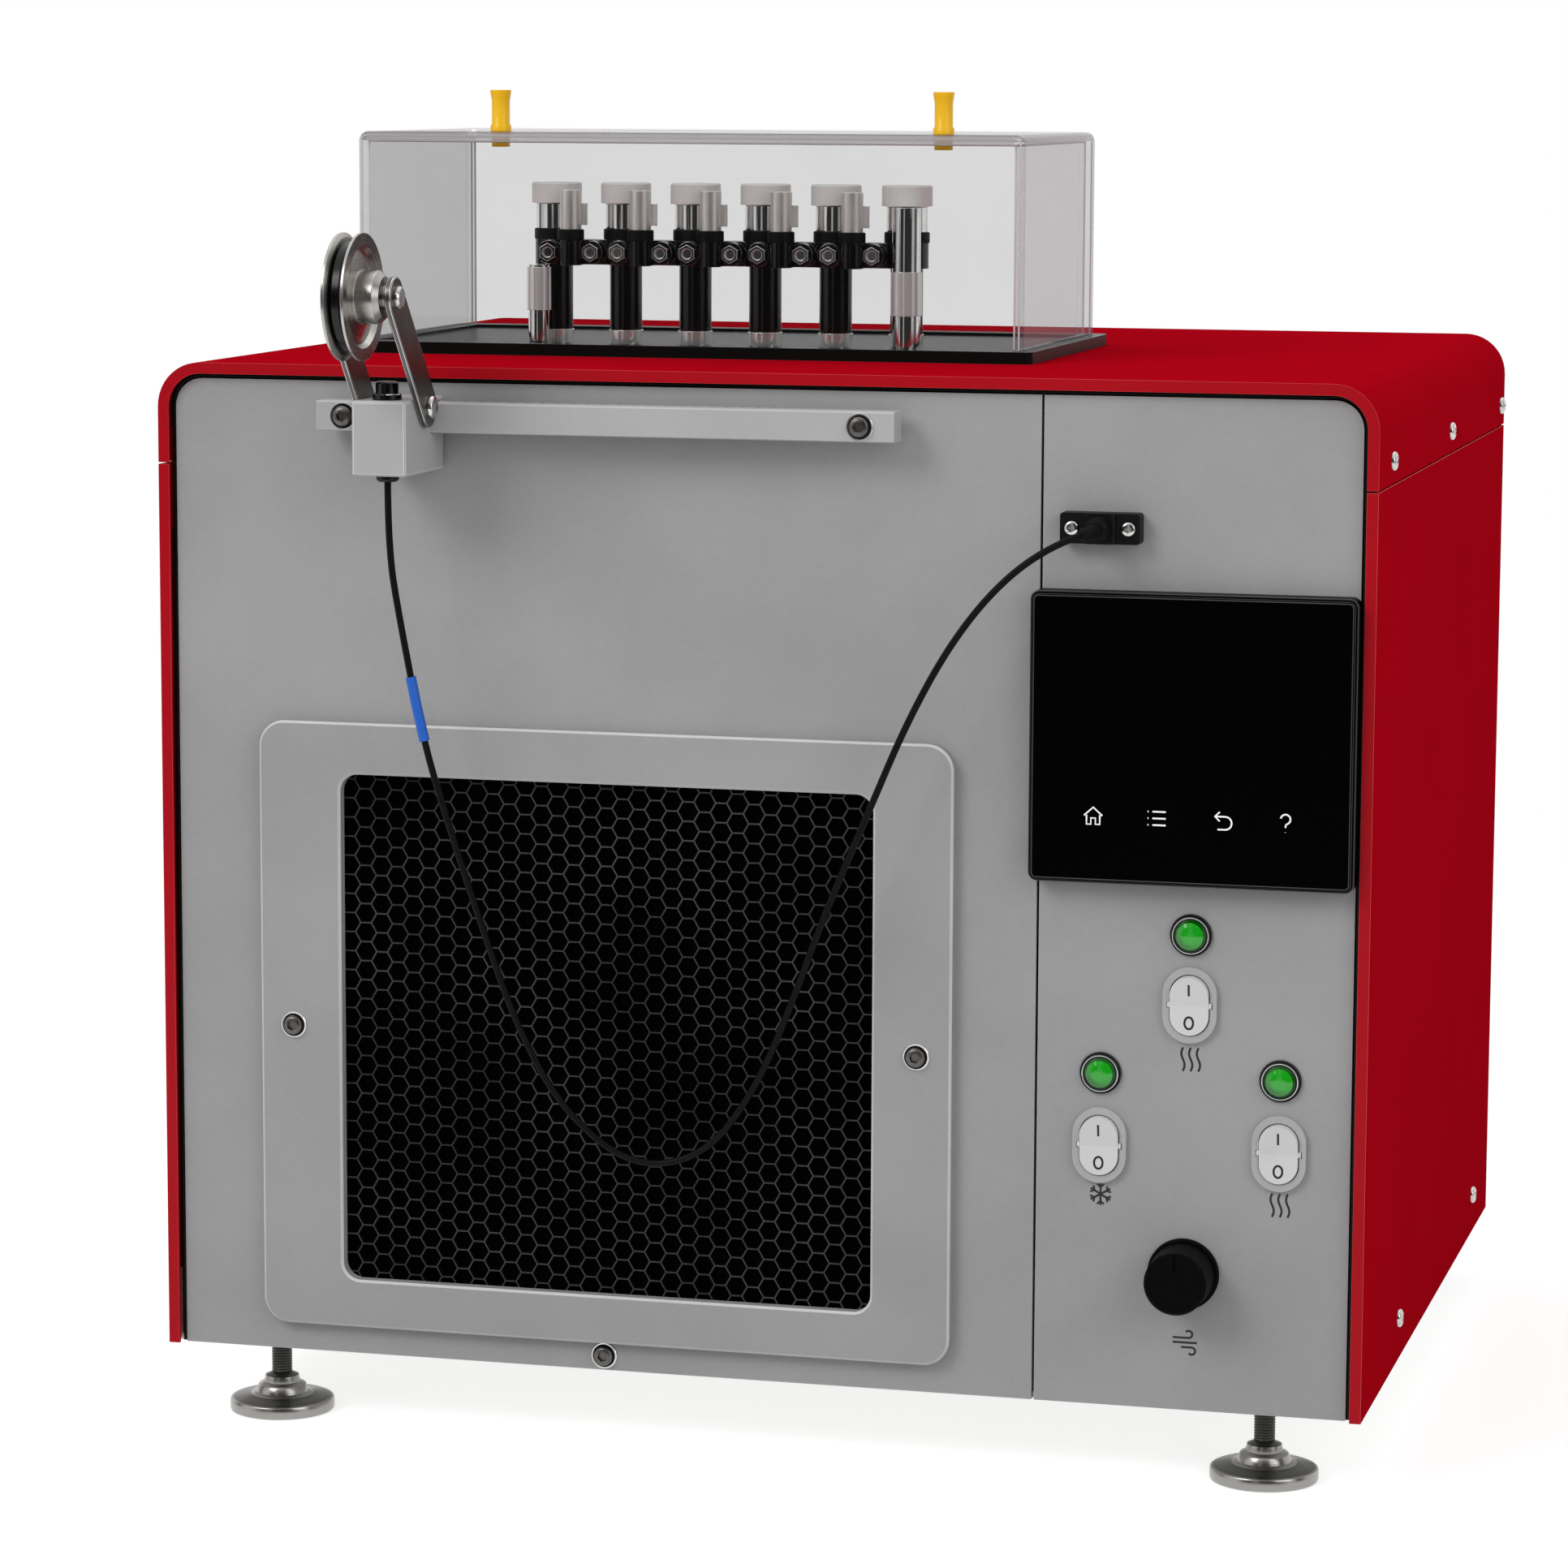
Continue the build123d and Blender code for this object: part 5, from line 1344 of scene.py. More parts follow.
# ---------------------------------------------------------------- intake grille
@dataclass
class IntakeGrille:
    """Fine six-sided mesh over the filter, and the fan behind it."""

    pitch: float = 8.7
    wall: float = 0.68
    join_reach: float = 0.02

    def build(self) -> None:
        """Makes the mesh and dresses what lies behind it."""
        dress("air_filter", FILTER_FOAM, soft=None)
        dress("fan_housing", BLACK_PLASTIC)
        dress("fan_rotor", BLACK_PLASTIC, soft=None)
        self._mesh()

    def _mesh(self) -> None:
        """Cells as one tiled sheet, inset to their walls and given their depth."""
        low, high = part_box("honeycomb_grille")
        sheet = self._sheet((high.x - low.x) / MM, (high.z - low.z) / MM)
        self._thicken(sheet, (high.y - low.y) / MM)
        centre = (low + high) / 2
        place = seat_at((centre.x, high.y, centre.z), Facing.FRONT)
        finishes = [MESH_WALL_SHADE, MESH_EDGE]
        piece = settle("grille_mesh", sheet, finishes, "case", place, mend=False)
        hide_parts("honeycomb_grille")

    def _sheet(self, width: float, height: float) -> bmesh.types.BMesh:
        """Flat sheet of six-sided cells, cut to a rectangle.

        Args:
            width: Its finished width.
            height: Its finished height.

        Returns:
            The sheet, in millimetres.
        """
        side = self.pitch / math.sqrt(3)
        columns = int(width / (1.5 * side)) + 2
        rows = int(height / self.pitch) + 2
        bm = bmesh.new()
        for column in range(columns):
            for row in range(rows):
                x = (column - (columns - 1) / 2) * 1.5 * side
                y = (row - (rows - 1) / 2 + (column % 2) / 2) * self.pitch
                place = Matrix.Translation((x, y, 0)) @ twist(90.0)
                bmesh.ops.create_circle(bm, cap_ends=True, segments=6, radius=side, matrix=place)
        self._cut_to_size(bm, width, height)
        bmesh.ops.remove_doubles(bm, verts=bm.verts, dist=self.join_reach)
        bmesh.ops.recalc_face_normals(bm, faces=bm.faces)
        return bm

    def _thicken(self, bm: bmesh.types.BMesh, depth: float) -> None:
        """Leaves only the walls between the cells and gives them their depth.

        Args:
            bm: The sheet.
            depth: Depth of the walls.
        """
        cells = list(bm.faces)
        bmesh.ops.inset_individual(bm, faces=cells, thickness=self.wall / 2, use_even_offset=True)
        bmesh.ops.delete(bm, geom=cells, context="FACES_ONLY")
        raised = bmesh.ops.extrude_face_region(bm, geom=list(bm.faces), use_keep_orig=True)
        lifted = [item for item in raised["geom"] if isinstance(item, bmesh.types.BMVert)]
        bmesh.ops.translate(bm, vec=(0, 0, depth), verts=lifted)
        # Painted shade: the walls' sides take the near-black first slot, and only the front faces keep the
        # mesh's dark grey.
        for face in bm.faces:
            face.material_index = 1 if all(vert.co.z > depth / 2 for vert in face.verts) else 0
        bmesh.ops.recalc_face_normals(bm, faces=bm.faces)

    @staticmethod
    def _cut_to_size(bm: bmesh.types.BMesh, width: float, height: float) -> None:
        """Trims the tiled sheet to a rectangle.

        Args:
            bm: The sheet.
            width: Its finished width.
            height: Its finished height.
        """
        sides = (((1, 0, 0), width), ((-1, 0, 0), width), ((0, 1, 0), height), ((0, -1, 0), height))
        for normal, reach in sides:
            bmesh.ops.bisect_plane(
                bm, geom=[*bm.verts, *bm.edges, *bm.faces], dist=0.0001,
                plane_co=Vector(normal) * reach / 2, plane_no=normal, clear_outer=True,
            )


# ---------------------------------------------------------------- rail, carriage and pulley
@dataclass
class PulleyCarriage:
    """Rail, sliding block, tilting fork and grooved wheel."""

    pivot_screw: Screw = field(default_factory=lambda: Screw(5.0, 2.6, Drive.HEXAGON, 2.2, 1.6, 0.4))
    shank_radius: float = 2.45
    shank_length: float = 10.6
    ring_width: float = 0.9
    ring_heights: tuple[float, float, float] = (2.2, 2.25, 2.7)
    ring_insets: tuple[float, float] = (0.1, 0.5)
    rim_radius: float = 26.0
    groove: tuple[float, float] = (3.0, 23.2)

    def build(self) -> None:
        """Dresses the moving pieces and adds screw heads and bright rings."""
        dress("carriage_rail", RAIL_PAINT, RAIL_EDGE_HIGHLIGHT, Softening(0.25, 2))
        dress("rail_spacers", ZINC)
        dress("carriage_block", RAIL_PAINT, RAIL_EDGE_HIGHLIGHT, Softening(0.35, 2, 40.0))
        for node in ("left_fork_arm", "right_fork_arm"):
            # Painted highlight: the fork arms' softened edges take the bright ring finish.
            dress(node, ARM_STEEL, RIM_HIGHLIGHT, Softening(0.2, 2, 40.0))
        axle_low, axle_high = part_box("pulley_axle")
        axle = tuple((axle_low + axle_high) / 2)
        across = [
            vertex.co.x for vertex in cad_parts["pulley"].data.vertices
            if math.hypot(vertex.co.y - axle[1], vertex.co.z - axle[2]) > self.rim_radius * MM
        ]
        rim = ((min(across) + max(across)) / 2, *axle[1:])
        wheel = Turned("turned_steel", (0.52, 0.505, 0.48), rim, "YZ", 0.17, 1500.0, 0.45, self.groove)
        dress("pulley", wheel, None, Softening(0.25, 2, 30.0))
        dress("pulley_axle", BRIGHT_SCREW, None, Softening(0.2, 2))
        dress("rotation_sensor", SENSOR_BLACK, None, Softening(0.2, 2))
        self._pivot_heads()
        self._sensor_ring()

    def _pivot_heads(self) -> None:
        """Socket heads that the fork tilts on."""
        low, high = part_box("pivot_screws")
        middle = (low + high) / 2
        heads = bmesh.new()
        inset = self.pivot_screw.head_height * MM
        for x, facing in ((low.x + inset, Facing.LEFT), (high.x - inset, Facing.RIGHT)):
            place = seat_at((x, middle.y, middle.z), facing)
            add(heads, self.pivot_screw.head(), place)
            add(heads, prism(32, self.shank_radius, -self.shank_length, 0.0), place)
        piece = settle("pivot_screw_heads", heads, [BRIGHT_SCREW], "carriage", mend=False)
        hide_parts("pivot_screws")

    def _sensor_ring(self) -> None:
        """Bright ring round the foot of the sensor's top."""
        low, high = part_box("rotation_sensor")
        middle = (low + high) / 2
        radius = (high.x - low.x) / MM / 2
        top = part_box("carriage_block")[1].z
        inner = radius - self.ring_width
        foot, edge, crest = self.ring_heights
        low_inset, top_inset = self.ring_insets
        profile = [(inner, foot), (inner, crest), (radius - top_inset, crest), (radius - low_inset, edge)]
        place = seat_at((middle.x, middle.y, top))
        settle("sensor_ring", ring(profile), [BRIGHT_SCREW], "carriage", place)


# ---------------------------------------------------------------- signal line
@dataclass
class SignalLine:
    """Socket, plug, hanging cable and its marker sleeve."""

    diameter: float = 3.0
    length: float = 0.6886
    sleeve_radius: float = 2.3
    sleeve_start: float = 0.125
    sleeve_length: float = 32.0
    screw_inset: float = 5.2
    screw_seat: float = -4.0
    blend_end_x: float = 412.0
    route: tuple[Point, ...] = (
        (121.8, -38.7, 402.0), (121.8, -38.7, 373.0), (126.6, -38.2, 342.0), (137.2, -37.2, 287.0),
        (150.0, -35.8, 245.0), (163.2, -34.4, 205.0), (178.0, -33.2, 163.0), (198.5, -32.0, 126.0),
        (230.0, -30.8, 101.5), (262.5, -29.6, 107.5), (285.5, -28.8, 138.0), (301.8, -28.2, 177.0),
        (316.8, -27.6, 219.0), (335.5, -27.0, 263.0), (352.0, -26.6, 302.5), (371.0, -26.6, 337.5),
        (392.0, -27.0, 363.8), (413.8, -24.9, 380.4), (426.4, -20.7, 384.9),
    )
    screw: Screw = field(default_factory=lambda: Screw(3.2, 1.5, Drive.CROSS, 1.7, 0.8, 0.6))

    def build(self) -> None:
        """Makes the cable and its sleeve and dresses the connector."""
        dress("connector_housing", BLACK_PLASTIC, DARK_EDGE_HIGHLIGHT, Softening(0.35, 2))
        plug = dress("signal_plug", CABLE_BLACK, None, Softening(0.2, 2, 40.0))
        path = self._centreline()
        sleeve = self._sleeve(path)
        self._cable()
        self._connector_screws()

    def _curve(self) -> bpy.types.Object:
        """The route as one smooth curve.

        Returns:
            The curve's object.
        """
        holder = draw_curve([[CASE.at(*spot) for spot in self.route]], "NURBS")
        holder.data.resolution_u = 14
        spline = holder.data.splines[0]
        spline.order_u = 3
        spline.use_endpoint_u = True
        return holder

    def _centreline(self) -> list[Vector]:
        """Points of the route's smooth curve.

        Returns:
            The points, in metres.
        """
        mesh = take_mesh(self._curve())
        points = [vert.co.copy() for vert in mesh.vertices]
        bpy.data.meshes.remove(mesh)
        return points

    def _tube(
        self, name: str, holder: bpy.types.Object, radius: float, finish: Finish
    ) -> bpy.types.Object:
        """Round tube along a curve that runs from the carriage to the case.

        Args:
            name: The piece's name.
            holder: Curve that it follows, which is removed.
            radius: Its radius in millimetres.
            finish: Its finish.

        Returns:
            The tube.
        """
        mesh = take_mesh(holder, radius * MM, 5)
        mesh.name = name
        mesh.materials.clear()
        mesh.materials.append(finish.material())
        mesh.polygons.foreach_set("use_smooth", [True] * len(mesh.polygons))
        piece = put(name, mesh)
        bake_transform(piece)
        log.info("made %s: %d faces", name, len(mesh.polygons))
        return piece

    def _sleeve(self, path: Sequence[Vector]) -> bpy.types.Object:
        """Blue sleeve round a stretch of the cable.

        Args:
            path: Points of the cable's centreline.

        Returns:
            The sleeve.
        """
        stretch: list[Vector] = []
        travelled = 0.0
        start = self._length(path) * self.sleeve_start
        for before, here in zip(path, path[1:]):
            travelled += (here - before).length
            if start <= travelled <= start + self.sleeve_length * MM:
                stretch.append(here)
        holder = draw_curve([stretch])
        piece = self._tube("marker_sleeve", holder, self.sleeve_radius, SLEEVE_BLUE)
        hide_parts("cable_sleeve")
        return piece

    @staticmethod
    def _length(path: Sequence[Vector]) -> float:
        """Length of a line of points."""
        return sum((here - before).length for before, here in zip(path, path[1:]))

    def _cable(
        self
    ) -> None:
        """Black cable from the sensor to the plug.
        """
        radius = self.diameter / 2
        piece = self._tube("hanging_cable", self._curve(), radius, CABLE_BLACK)
        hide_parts("signal_cable")

    def _connector_screws(self) -> None:
        """Two small screws of the connector."""
        low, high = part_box("connector_housing")
        middle = (low + high) / 2
        screws = bmesh.new()
        inset = self.screw_inset * MM
        for x in (low.x + inset, high.x - inset):
            place = seat_at((x, CASE.at(0, self.screw_seat, 0).y, middle.z), Facing.FRONT)
            add(screws, self.screw.head(), place)
        settle("connector_screw_heads", screws, [BRIGHT_SCREW], "case")


# ---------------------------------------------------------------- display
@dataclass
class TouchDisplay:
    """Black display with four plain symbols along its foot."""

    symbol_z: float = 262.8
    symbol_x: tuple[float, ...] = (430.5, 458.2, 487.1, 514.0)
    pen: float = 0.75
    ink_height: float = 0.05

    def build(self) -> None:
        """Dresses the case and glass and draws the symbols."""
        dress("display_housing", DISPLAY_CASE, DARK_EDGE_HIGHLIGHT, Softening(0.5, 2))
        dress("display_glass", DISPLAY_GLASS, DARK_EDGE_HIGHLIGHT, Softening(0.25, 2, 25.0))
        marks = bmesh.new()
        for x, strokes in zip(self.symbol_x, (self.home(), self.entries(), self.back(), self.help())):
            y = (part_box("display_glass")[0].y - CASE.origin.y) / MM
            add(marks, print_marks(strokes, self.pen, self.ink_height), CASE.place(x, y, self.symbol_z))
        settle("display_symbols", marks, [ICON_INK], "case", mend=False)

    @staticmethod
    def home() -> list[Stroke]:
        """House outline with a door.

        Returns:
            Its strokes.
        """
        left = [(-2.9, 0.4), (-2.9, -3.6), (-1.0, -3.6), (-1.0, -0.9)]
        right = [(-x, z) for x, z in reversed(left)]
        return [[(-4.0, 0.2), (0.0, 3.8), (4.0, 0.2)], left + right]

    @staticmethod
    def entries() -> list[Stroke]:
        """Three rows of a dot and a line.

        Returns:
            Their strokes.
        """
        rows = []
        for z in (-2.9, 0.0, 2.9):
            rows += [[(-3.9, z), (-3.5, z)], [(-1.8, z), (4.0, z)]]
        return rows

    @staticmethod
    def back() -> list[Stroke]:
        """Arrow that turns back to the left."""
        hook = [(-3.4, 1.9), (0.9, 1.9), *arc((0.9, -0.9), 2.8, 90, -90), (-2.4, -3.7)]
        return [hook, [(-1.5, 3.9), (-3.6, 1.9), (-1.5, -0.1)]]

    @staticmethod
    def help() -> list[Stroke]:
        """Hook over a dot."""
        hook = [*arc((0.0, 1.8), 2.1, 170, -45), (0.15, -0.6), (0.0, -1.8)]
        return [hook, [(0.0, -3.8), (0.0, -3.7)]]


# ---------------------------------------------------------------- lamps, switches and knob
@dataclass
class ControlPanel:
    """Lamps, rocker switches, the air knob and the printed symbols."""

    switch_places: dict[str, tuple[float, float]] = field(
        default_factory=lambda: {
            "main": (472.0, 180.2), "cooling": (433.0, 116.4), "heating": (512.0, 116.9),
        }
    )
    lamp_places: tuple[tuple[float, float], ...] = ((472.0, 210.8), (433.0, 148.3), (512.0, 148.7))
    lamp_rim: tuple[float, float] = (8.05, 7.65)
    rim_heights: tuple[float, float, float] = (0.02, 0.14, 0.2)
    rim_lift: float = 0.1
    pivot_y: float = 2.2
    crown: float = 1.6
    face_angle: float = 5.0
    mark_height: float = 7.4
    panel_y: float = 4.0
    heat_places: tuple[tuple[float, float], ...] = ((472.5, 156.3), (512.6, 94.0))
    frost_place: tuple[float, float] = (433.5, 94.3)
    flow_place: tuple[float, float] = (471.8, 30.7)
    pen: float = 1.0
    ink_height: float = 0.06

    def build(self) -> None:
        """Dresses the controls and prints their symbols."""
        dress("lamp_bezels", BLACK_PLASTIC, DARK_EDGE_HIGHLIGHT, Softening(0.35, 2))
        dress("lamp_lenses", LAMP_GREEN, None, None)
        dress("switch_bezels", SILVER_PLASTIC, None, Softening(0.7, 3))
        dress("air_flow_knob", KNOB_PLASTIC, None, Softening(0.4, 3))
        for name, (x, z) in self.switch_places.items():
            dress(f"{name}_rocker", WHITE_PLASTIC, None, Softening(0.7, 3))
            self._rocker_marks(name, x, z)
        self._lamp_highlights()
        self._symbols()

    def _rocker_marks(self, name: str, x: float, z: float) -> None:
        """On bar and off ring, laid on the rocker's two faces.

        Args:
            name: Which switch it is.
            x: Its place across the case.
            z: Its height on the case.
        """
        turns = [FULL_TURN * step / 24 for step in range(25)]
        ring = [(1.9 * math.cos(a), -self.mark_height + 2.6 * math.sin(a)) for a in turns]
        strokes = [[(0.0, self.mark_height - 2.8), (0.0, self.mark_height + 2.4)], ring]
        marks = print_marks(strokes, self.pen, self.ink_height)
        slope = math.tan(math.radians(self.face_angle))
        for vert in marks.verts:
            vert.co.y -= self.crown + abs(vert.co.z) * slope
        lean = Matrix.Rotation(math.radians(self.face_angle), 4, "X")
        place = CASE.place(x, self.pivot_y, z) @ lean
        title, body = f"{name}_rocker_marks", f"{name}_switch"
        settle(title, marks, [PANEL_INK], body, place, mend=False)

    def _lamp_highlights(self) -> None:
        """Painted highlight: bright thin ring round each lens."""
        glint_rings = bmesh.new()
        front = (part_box("lamp_bezels")[0].y - CASE.origin.y) / MM
        outer, inner = self.lamp_rim
        foot, edge, top = self.rim_heights
        crest = (outer + inner) / 2
        profile = [(outer, foot), (outer, edge), (crest, top), (inner, edge), (inner, foot)]
        for x, z in self.lamp_places:
            add(glint_rings, ring(profile), CASE.place(x, front + self.rim_lift, z, Facing.FRONT))
        settle("lamp_highlight_rings", glint_rings, [RIM_HIGHLIGHT], "case")

    def _symbols(self) -> None:
        """Plain symbols of heat, frost and air flow."""
        marks = bmesh.new()
        drawn = [(place, self.heat()) for place in self.heat_places]
        drawn += [(self.frost_place, self.frost()), (self.flow_place, self.flow())]
        for (x, z), strokes in drawn:
            add(marks, print_marks(strokes, self.pen, self.ink_height), CASE.place(x, self.panel_y, z))
        settle("panel_symbols", marks, [PANEL_INK], "case", mend=False)

    @staticmethod
    def heat() -> list[Stroke]:
        """Three rising waves.

        Returns:
            Their strokes.
        """
        waves = []
        for x in (-3.4, 0.0, 3.4):
            steps = [(step / 16) for step in range(17)]
            waves.append([(x + 0.75 * math.sin(FULL_TURN * t), -5.4 + 10.4 * t) for t in steps])
        return waves

    @staticmethod
    def frost() -> list[Stroke]:
        """Six-armed flake with a fork on each arm.

        Returns:
            Its strokes.
        """
        strokes: list[Stroke] = []
        for step in range(6):
            angle = math.radians(60 * step + 30)
            along = Vector((math.cos(angle), math.sin(angle)))
            across = Vector((-along.y, along.x))
            fork = along * 3.0
            strokes.append([(0.0, 0.0), tuple(along * 5.0)])
            tips = [tuple(along * 4.5 + across * reach) for reach in (1.5, -1.5)]
            strokes.append([tips[0], tuple(fork), tips[1]])
        return strokes

    @staticmethod
    def flow() -> list[Stroke]:
        """Three streams, two of them curled.

        Returns:
            Their strokes.
        """
        top = [(-5.4, 1.7), (1.6, 1.7), *arc((1.6, 3.3), 1.6, -90, 140)]
        low = [(-1.6, -2.5), (3.0, -2.5), *arc((3.0, -4.1), 1.6, 90, -140)]
        return [top, low, [(-5.4, -0.4), (5.4, -0.4)]]


# ---------------------------------------------------------------- cover and cells
@dataclass
class CellRow:
    """Clear cover on its tray, and the row of cells below it."""

    cell_count: int = 6
    glint_insets: tuple[tuple[float, float], ...] = ((1.9, 2.6), (4.6, 0.6))
    line_radius: float = 0.42
    roof_bend: float = 4.5
    curve_inset: float = 0.35
    curve_wall: float = 0.3
    band_low: float = 16.0
    band_height: float = 20.0

    def build(self) -> None:
        """Dresses the cover, the tray and the cells."""
        dress("cell_tray", TRAY_BLACK, DARK_EDGE_HIGHLIGHT, Softening(0.4, 2))
        dress("clear_cover", CLEAR_ACRYLIC, ACRYLIC_EDGE_HIGHLIGHT, Softening(0.8, 3))
        dress("port_tubes", YELLOW_PLASTIC, None, Softening(0.15, 2))
        dress("cell_base_rings", RING_STEEL, None, Softening(0.25, 2))
        dress("cell_lower_tubes", BLACK_TUBE, None, Softening(0.2, 2))
        dress("clamp_bar", BLACK_TUBE, CLAMP_EDGE_HIGHLIGHT, Softening(0.45, 2))
        dress("clamp_fittings", FITTING_STEEL, FITTING_EDGE_HIGHLIGHT, Softening(0.35, 2))
        dress("cell_boots", BOOT_RUBBER, None, Softening(0.5, 2))
        dress("cell_upper_tubes", CHROME, None, Softening(0.25, 2))
        dress("side_tubes", SIDE_GREY, None, Softening(0.25, 2))
        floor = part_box("guide_tubes")[0].z
        band = (floor + self.band_low * MM, floor + (self.band_low + self.band_height) * MM)
        banded = Plated("guide_chrome", CHROME.colour, CHROME.roughness, band=band)
        dress("guide_tubes", banded, None, Softening(0.2, 2))
        dress("cell_block", BLOCK_METAL, None, None)
        dress("block_jacket", JACKET_FOAM, None, None)
        for number in range(1, self.cell_count + 1):
            dress(f"rotor_{number}", CAP_GREY, None, Softening(0.25, 2))
        self._corner_glints()
        self._shade_roof_bends()

    def _shade_roof_bends(self) -> None:
        """Painted shade: grey curves inside the roof's rounded edges, standing for the light that the thick
        sheet bends there.
        """
        low, high = (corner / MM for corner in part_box("clear_cover"))
        bend = self.roof_bend
        outer = arc((0, 0), bend - self.curve_inset, 180, 90, 8)
        inner = arc((0, 0), bend - self.curve_inset - self.curve_wall, 90, 180, 8)
        curves = bmesh.new()
        (left, front, _), (right, rear, _) = low + Vector((bend,) * 3), high - Vector((bend,) * 3)
        runs = (
            (0, left, right, front, 1), (0, left, right, rear, -1),
            (1, front, rear, left, 1), (1, front, rear, right, -1),
        )
        for axis, start, end, middle, side in runs:
            rings = []
            for along in (start, end):
                spots = [(along, middle + side * a, high.z - bend + b) for a, b in [*outer, *inner]]
                if axis == 1:
                    spots = [(y, x, z) for x, y, z in spots]
                rings.append([curves.verts.new(Vector(spot) * MM) for spot in spots])
            first, last = rings
            curves.faces.new(first)
            curves.faces.new(last)
            for index, corner in enumerate(first):
                follows = (index + 1) % len(first)
                curves.faces.new((corner, first[follows], last[follows], last[index]))
        bmesh.ops.recalc_face_normals(curves, faces=curves.faces)
        settle("cover_roof_shade_curves", curves, [ROOF_BEND_SHADE], "cover", mend=False)

    def _corner_glints(self) -> None:
        """Painted glints: bright lines along the cover's corners, outer and inner, at its front and its
        rear.
        """
        low, high = (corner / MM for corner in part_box("clear_cover"))
        lines = bmesh.new()
        for inset, bend in self.glint_insets:
            left, right, top = low.x + inset, high.x - inset, high.z - inset
            foot = low.z + self.line_radius
            route = [(left, foot), *arc((left + bend, top - bend), bend, 180, 90, 6)]
            route += [*arc((right - bend, top - bend), bend, 90, 0, 6), (right, foot)]
            for y in (low.y + inset, high.y - inset):
                run = [Vector((x, y, z)) * MM for x, z in route]
                add(lines, sweep([run], self.line_radius * MM, 2))
            for x in (left, right):
                ends = [Vector((x, y, top)) * MM for y in (low.y + inset, high.y - inset)]
                add(lines, sweep([ends], self.line_radius * MM, 2))
        settle("cover_corner_glints", lines, [CORNER_GLINT], "cover", mend=False)


# ---------------------------------------------------------------- rear and feet
@dataclass
class RearInlet:
    """Appliance inlet of the rear panel."""

    def build(self) -> None:
        """Dresses the inlet."""
        dress("power_inlet", BLACK_PLASTIC, None, Softening(0.3, 2))


@dataclass
class LevellingFeet:
    """Four turned feet with threaded studs."""

    pad_radius: float = 24.0
    pad_height: float = 6.0
    stud_radius: float = 4.8
    thread_depth: float = 0.45
    thread_pitch: float = 1.25
    stud_top: float = 48.0
    thread_start: float = 11.5
    lip: tuple[float, float] = (0.6, 11.0)
    steps: int = 72
    ring_scale: float = 1300.0
    highlight_edge: float = 1.3
    highlight_collar: tuple[float, float] = (2.0, 10.5)
    underside: tuple[tuple[float, float], ...] = ((1.2, 0.0), (0.3, 0.35), (0.0, 1.1))
    upper_edge: tuple[tuple[float, float], ...] = ((0.0, 1.2), (0.4, 0.45), (1.5, 0.0))
    collar: tuple[tuple[float, float], ...] = (
        (0.78, 0.7), (0.6, 1.6), (0.5, 2.5), (0.49, 3.4), (0.46, 5.5), (0.44, 6.1), (0.34, 7.0),
        (0.335, 8.5), (0.32, 10.0),
    )

    def build(self) -> None:
        """Makes each foot in place of its plain solid."""
        for corner in ("front_left", "front_right", "rear_left", "rear_right"):
            node = f"foot_{corner}"
            low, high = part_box(node)
            centre = (low + high) / 2
            middle = tuple(centre)
            # Painted highlight and shade: one steel in a dark and a light tone, standing for the
            # reflections on the turned foot.
            dark = Turned(
                f"foot_painted_shade_{corner}", (0.13, 0.128, 0.122), middle, "XY", 0.2, self.ring_scale, 0.3
            )
            bright = Turned(
                f"foot_painted_highlight_{corner}", (0.44, 0.43, 0.41), middle, "XY", 0.16, self.ring_scale, 0.45
            )
            place = seat_at((centre.x, centre.y, low.z))
            foot = spun(self._profile(), self.steps)
            # Painted highlight: the pad's side, upper edge and collar band take the lighter steel, the rest
            # the darker.
            for face in foot.faces:
                face.material_index = 1 if self._is_painted_highlight(face) else 0
            title, body = f"turned_foot_{corner}", f"levelling_{corner}"
            piece = settle(title, foot, [dark, bright], body, place)
            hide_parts(node)

    def _is_painted_highlight(self, face: bmesh.types.BMFace) -> bool:
        """Tells whether a face takes the painted highlight: the pad's side, its upper edge or the collar
        band.

        Args:
            face: Face of a foot.

        Returns:
            True for the lighter steel of the painted highlight.
        """
        rise = face.calc_center_median().z - self.pad_height
        low, high = self.highlight_collar
        side = rise < 0 and abs(face.normal.z) < 0.5
        return side or -self.highlight_edge < rise < 0 or low < rise < high

    def _profile(self) -> list[tuple[float, float]]:
        """Outline from the pad's underside to the top of the stud.

        Returns:
            Radius and height of each point, in millimetres.
        """
        pad, top = self.pad_radius, self.pad_height
        outline = [(0.0, 0.0)]
        outline += [(pad - inset, height) for inset, height in self.underside]
        outline += [(pad - inset, top - drop) for inset, drop in self.upper_edge]
        outline += [(pad * share, top + rise) for share, rise in self.collar]
        crest, root = self.stud_radius, self.stud_radius - self.thread_depth
        height = top + self.thread_start
        outline += [(crest + self.lip[0], top + self.lip[1]), (root, height)]
        while height + self.thread_pitch < self.stud_top:
            outline.append((crest, height + self.thread_pitch / 2))
            outline.append((root, height + self.thread_pitch))
            height += self.thread_pitch
        outline += [(root, self.stud_top), (0.0, self.stud_top)]
        return outline


# ---------------------------------------------------------------- studio
@dataclass(frozen=True)
class SoftBox:
    """One square lamp that faces the object."""

    name: str
    place: Point
    aim: Point
    size: float
    watts: float


@dataclass(frozen=True)
class SoftPanel:
    """One upright panel of the room, which only mirrors see."""

    azimuth: float
    half_width: float
    blur: float
    level: float


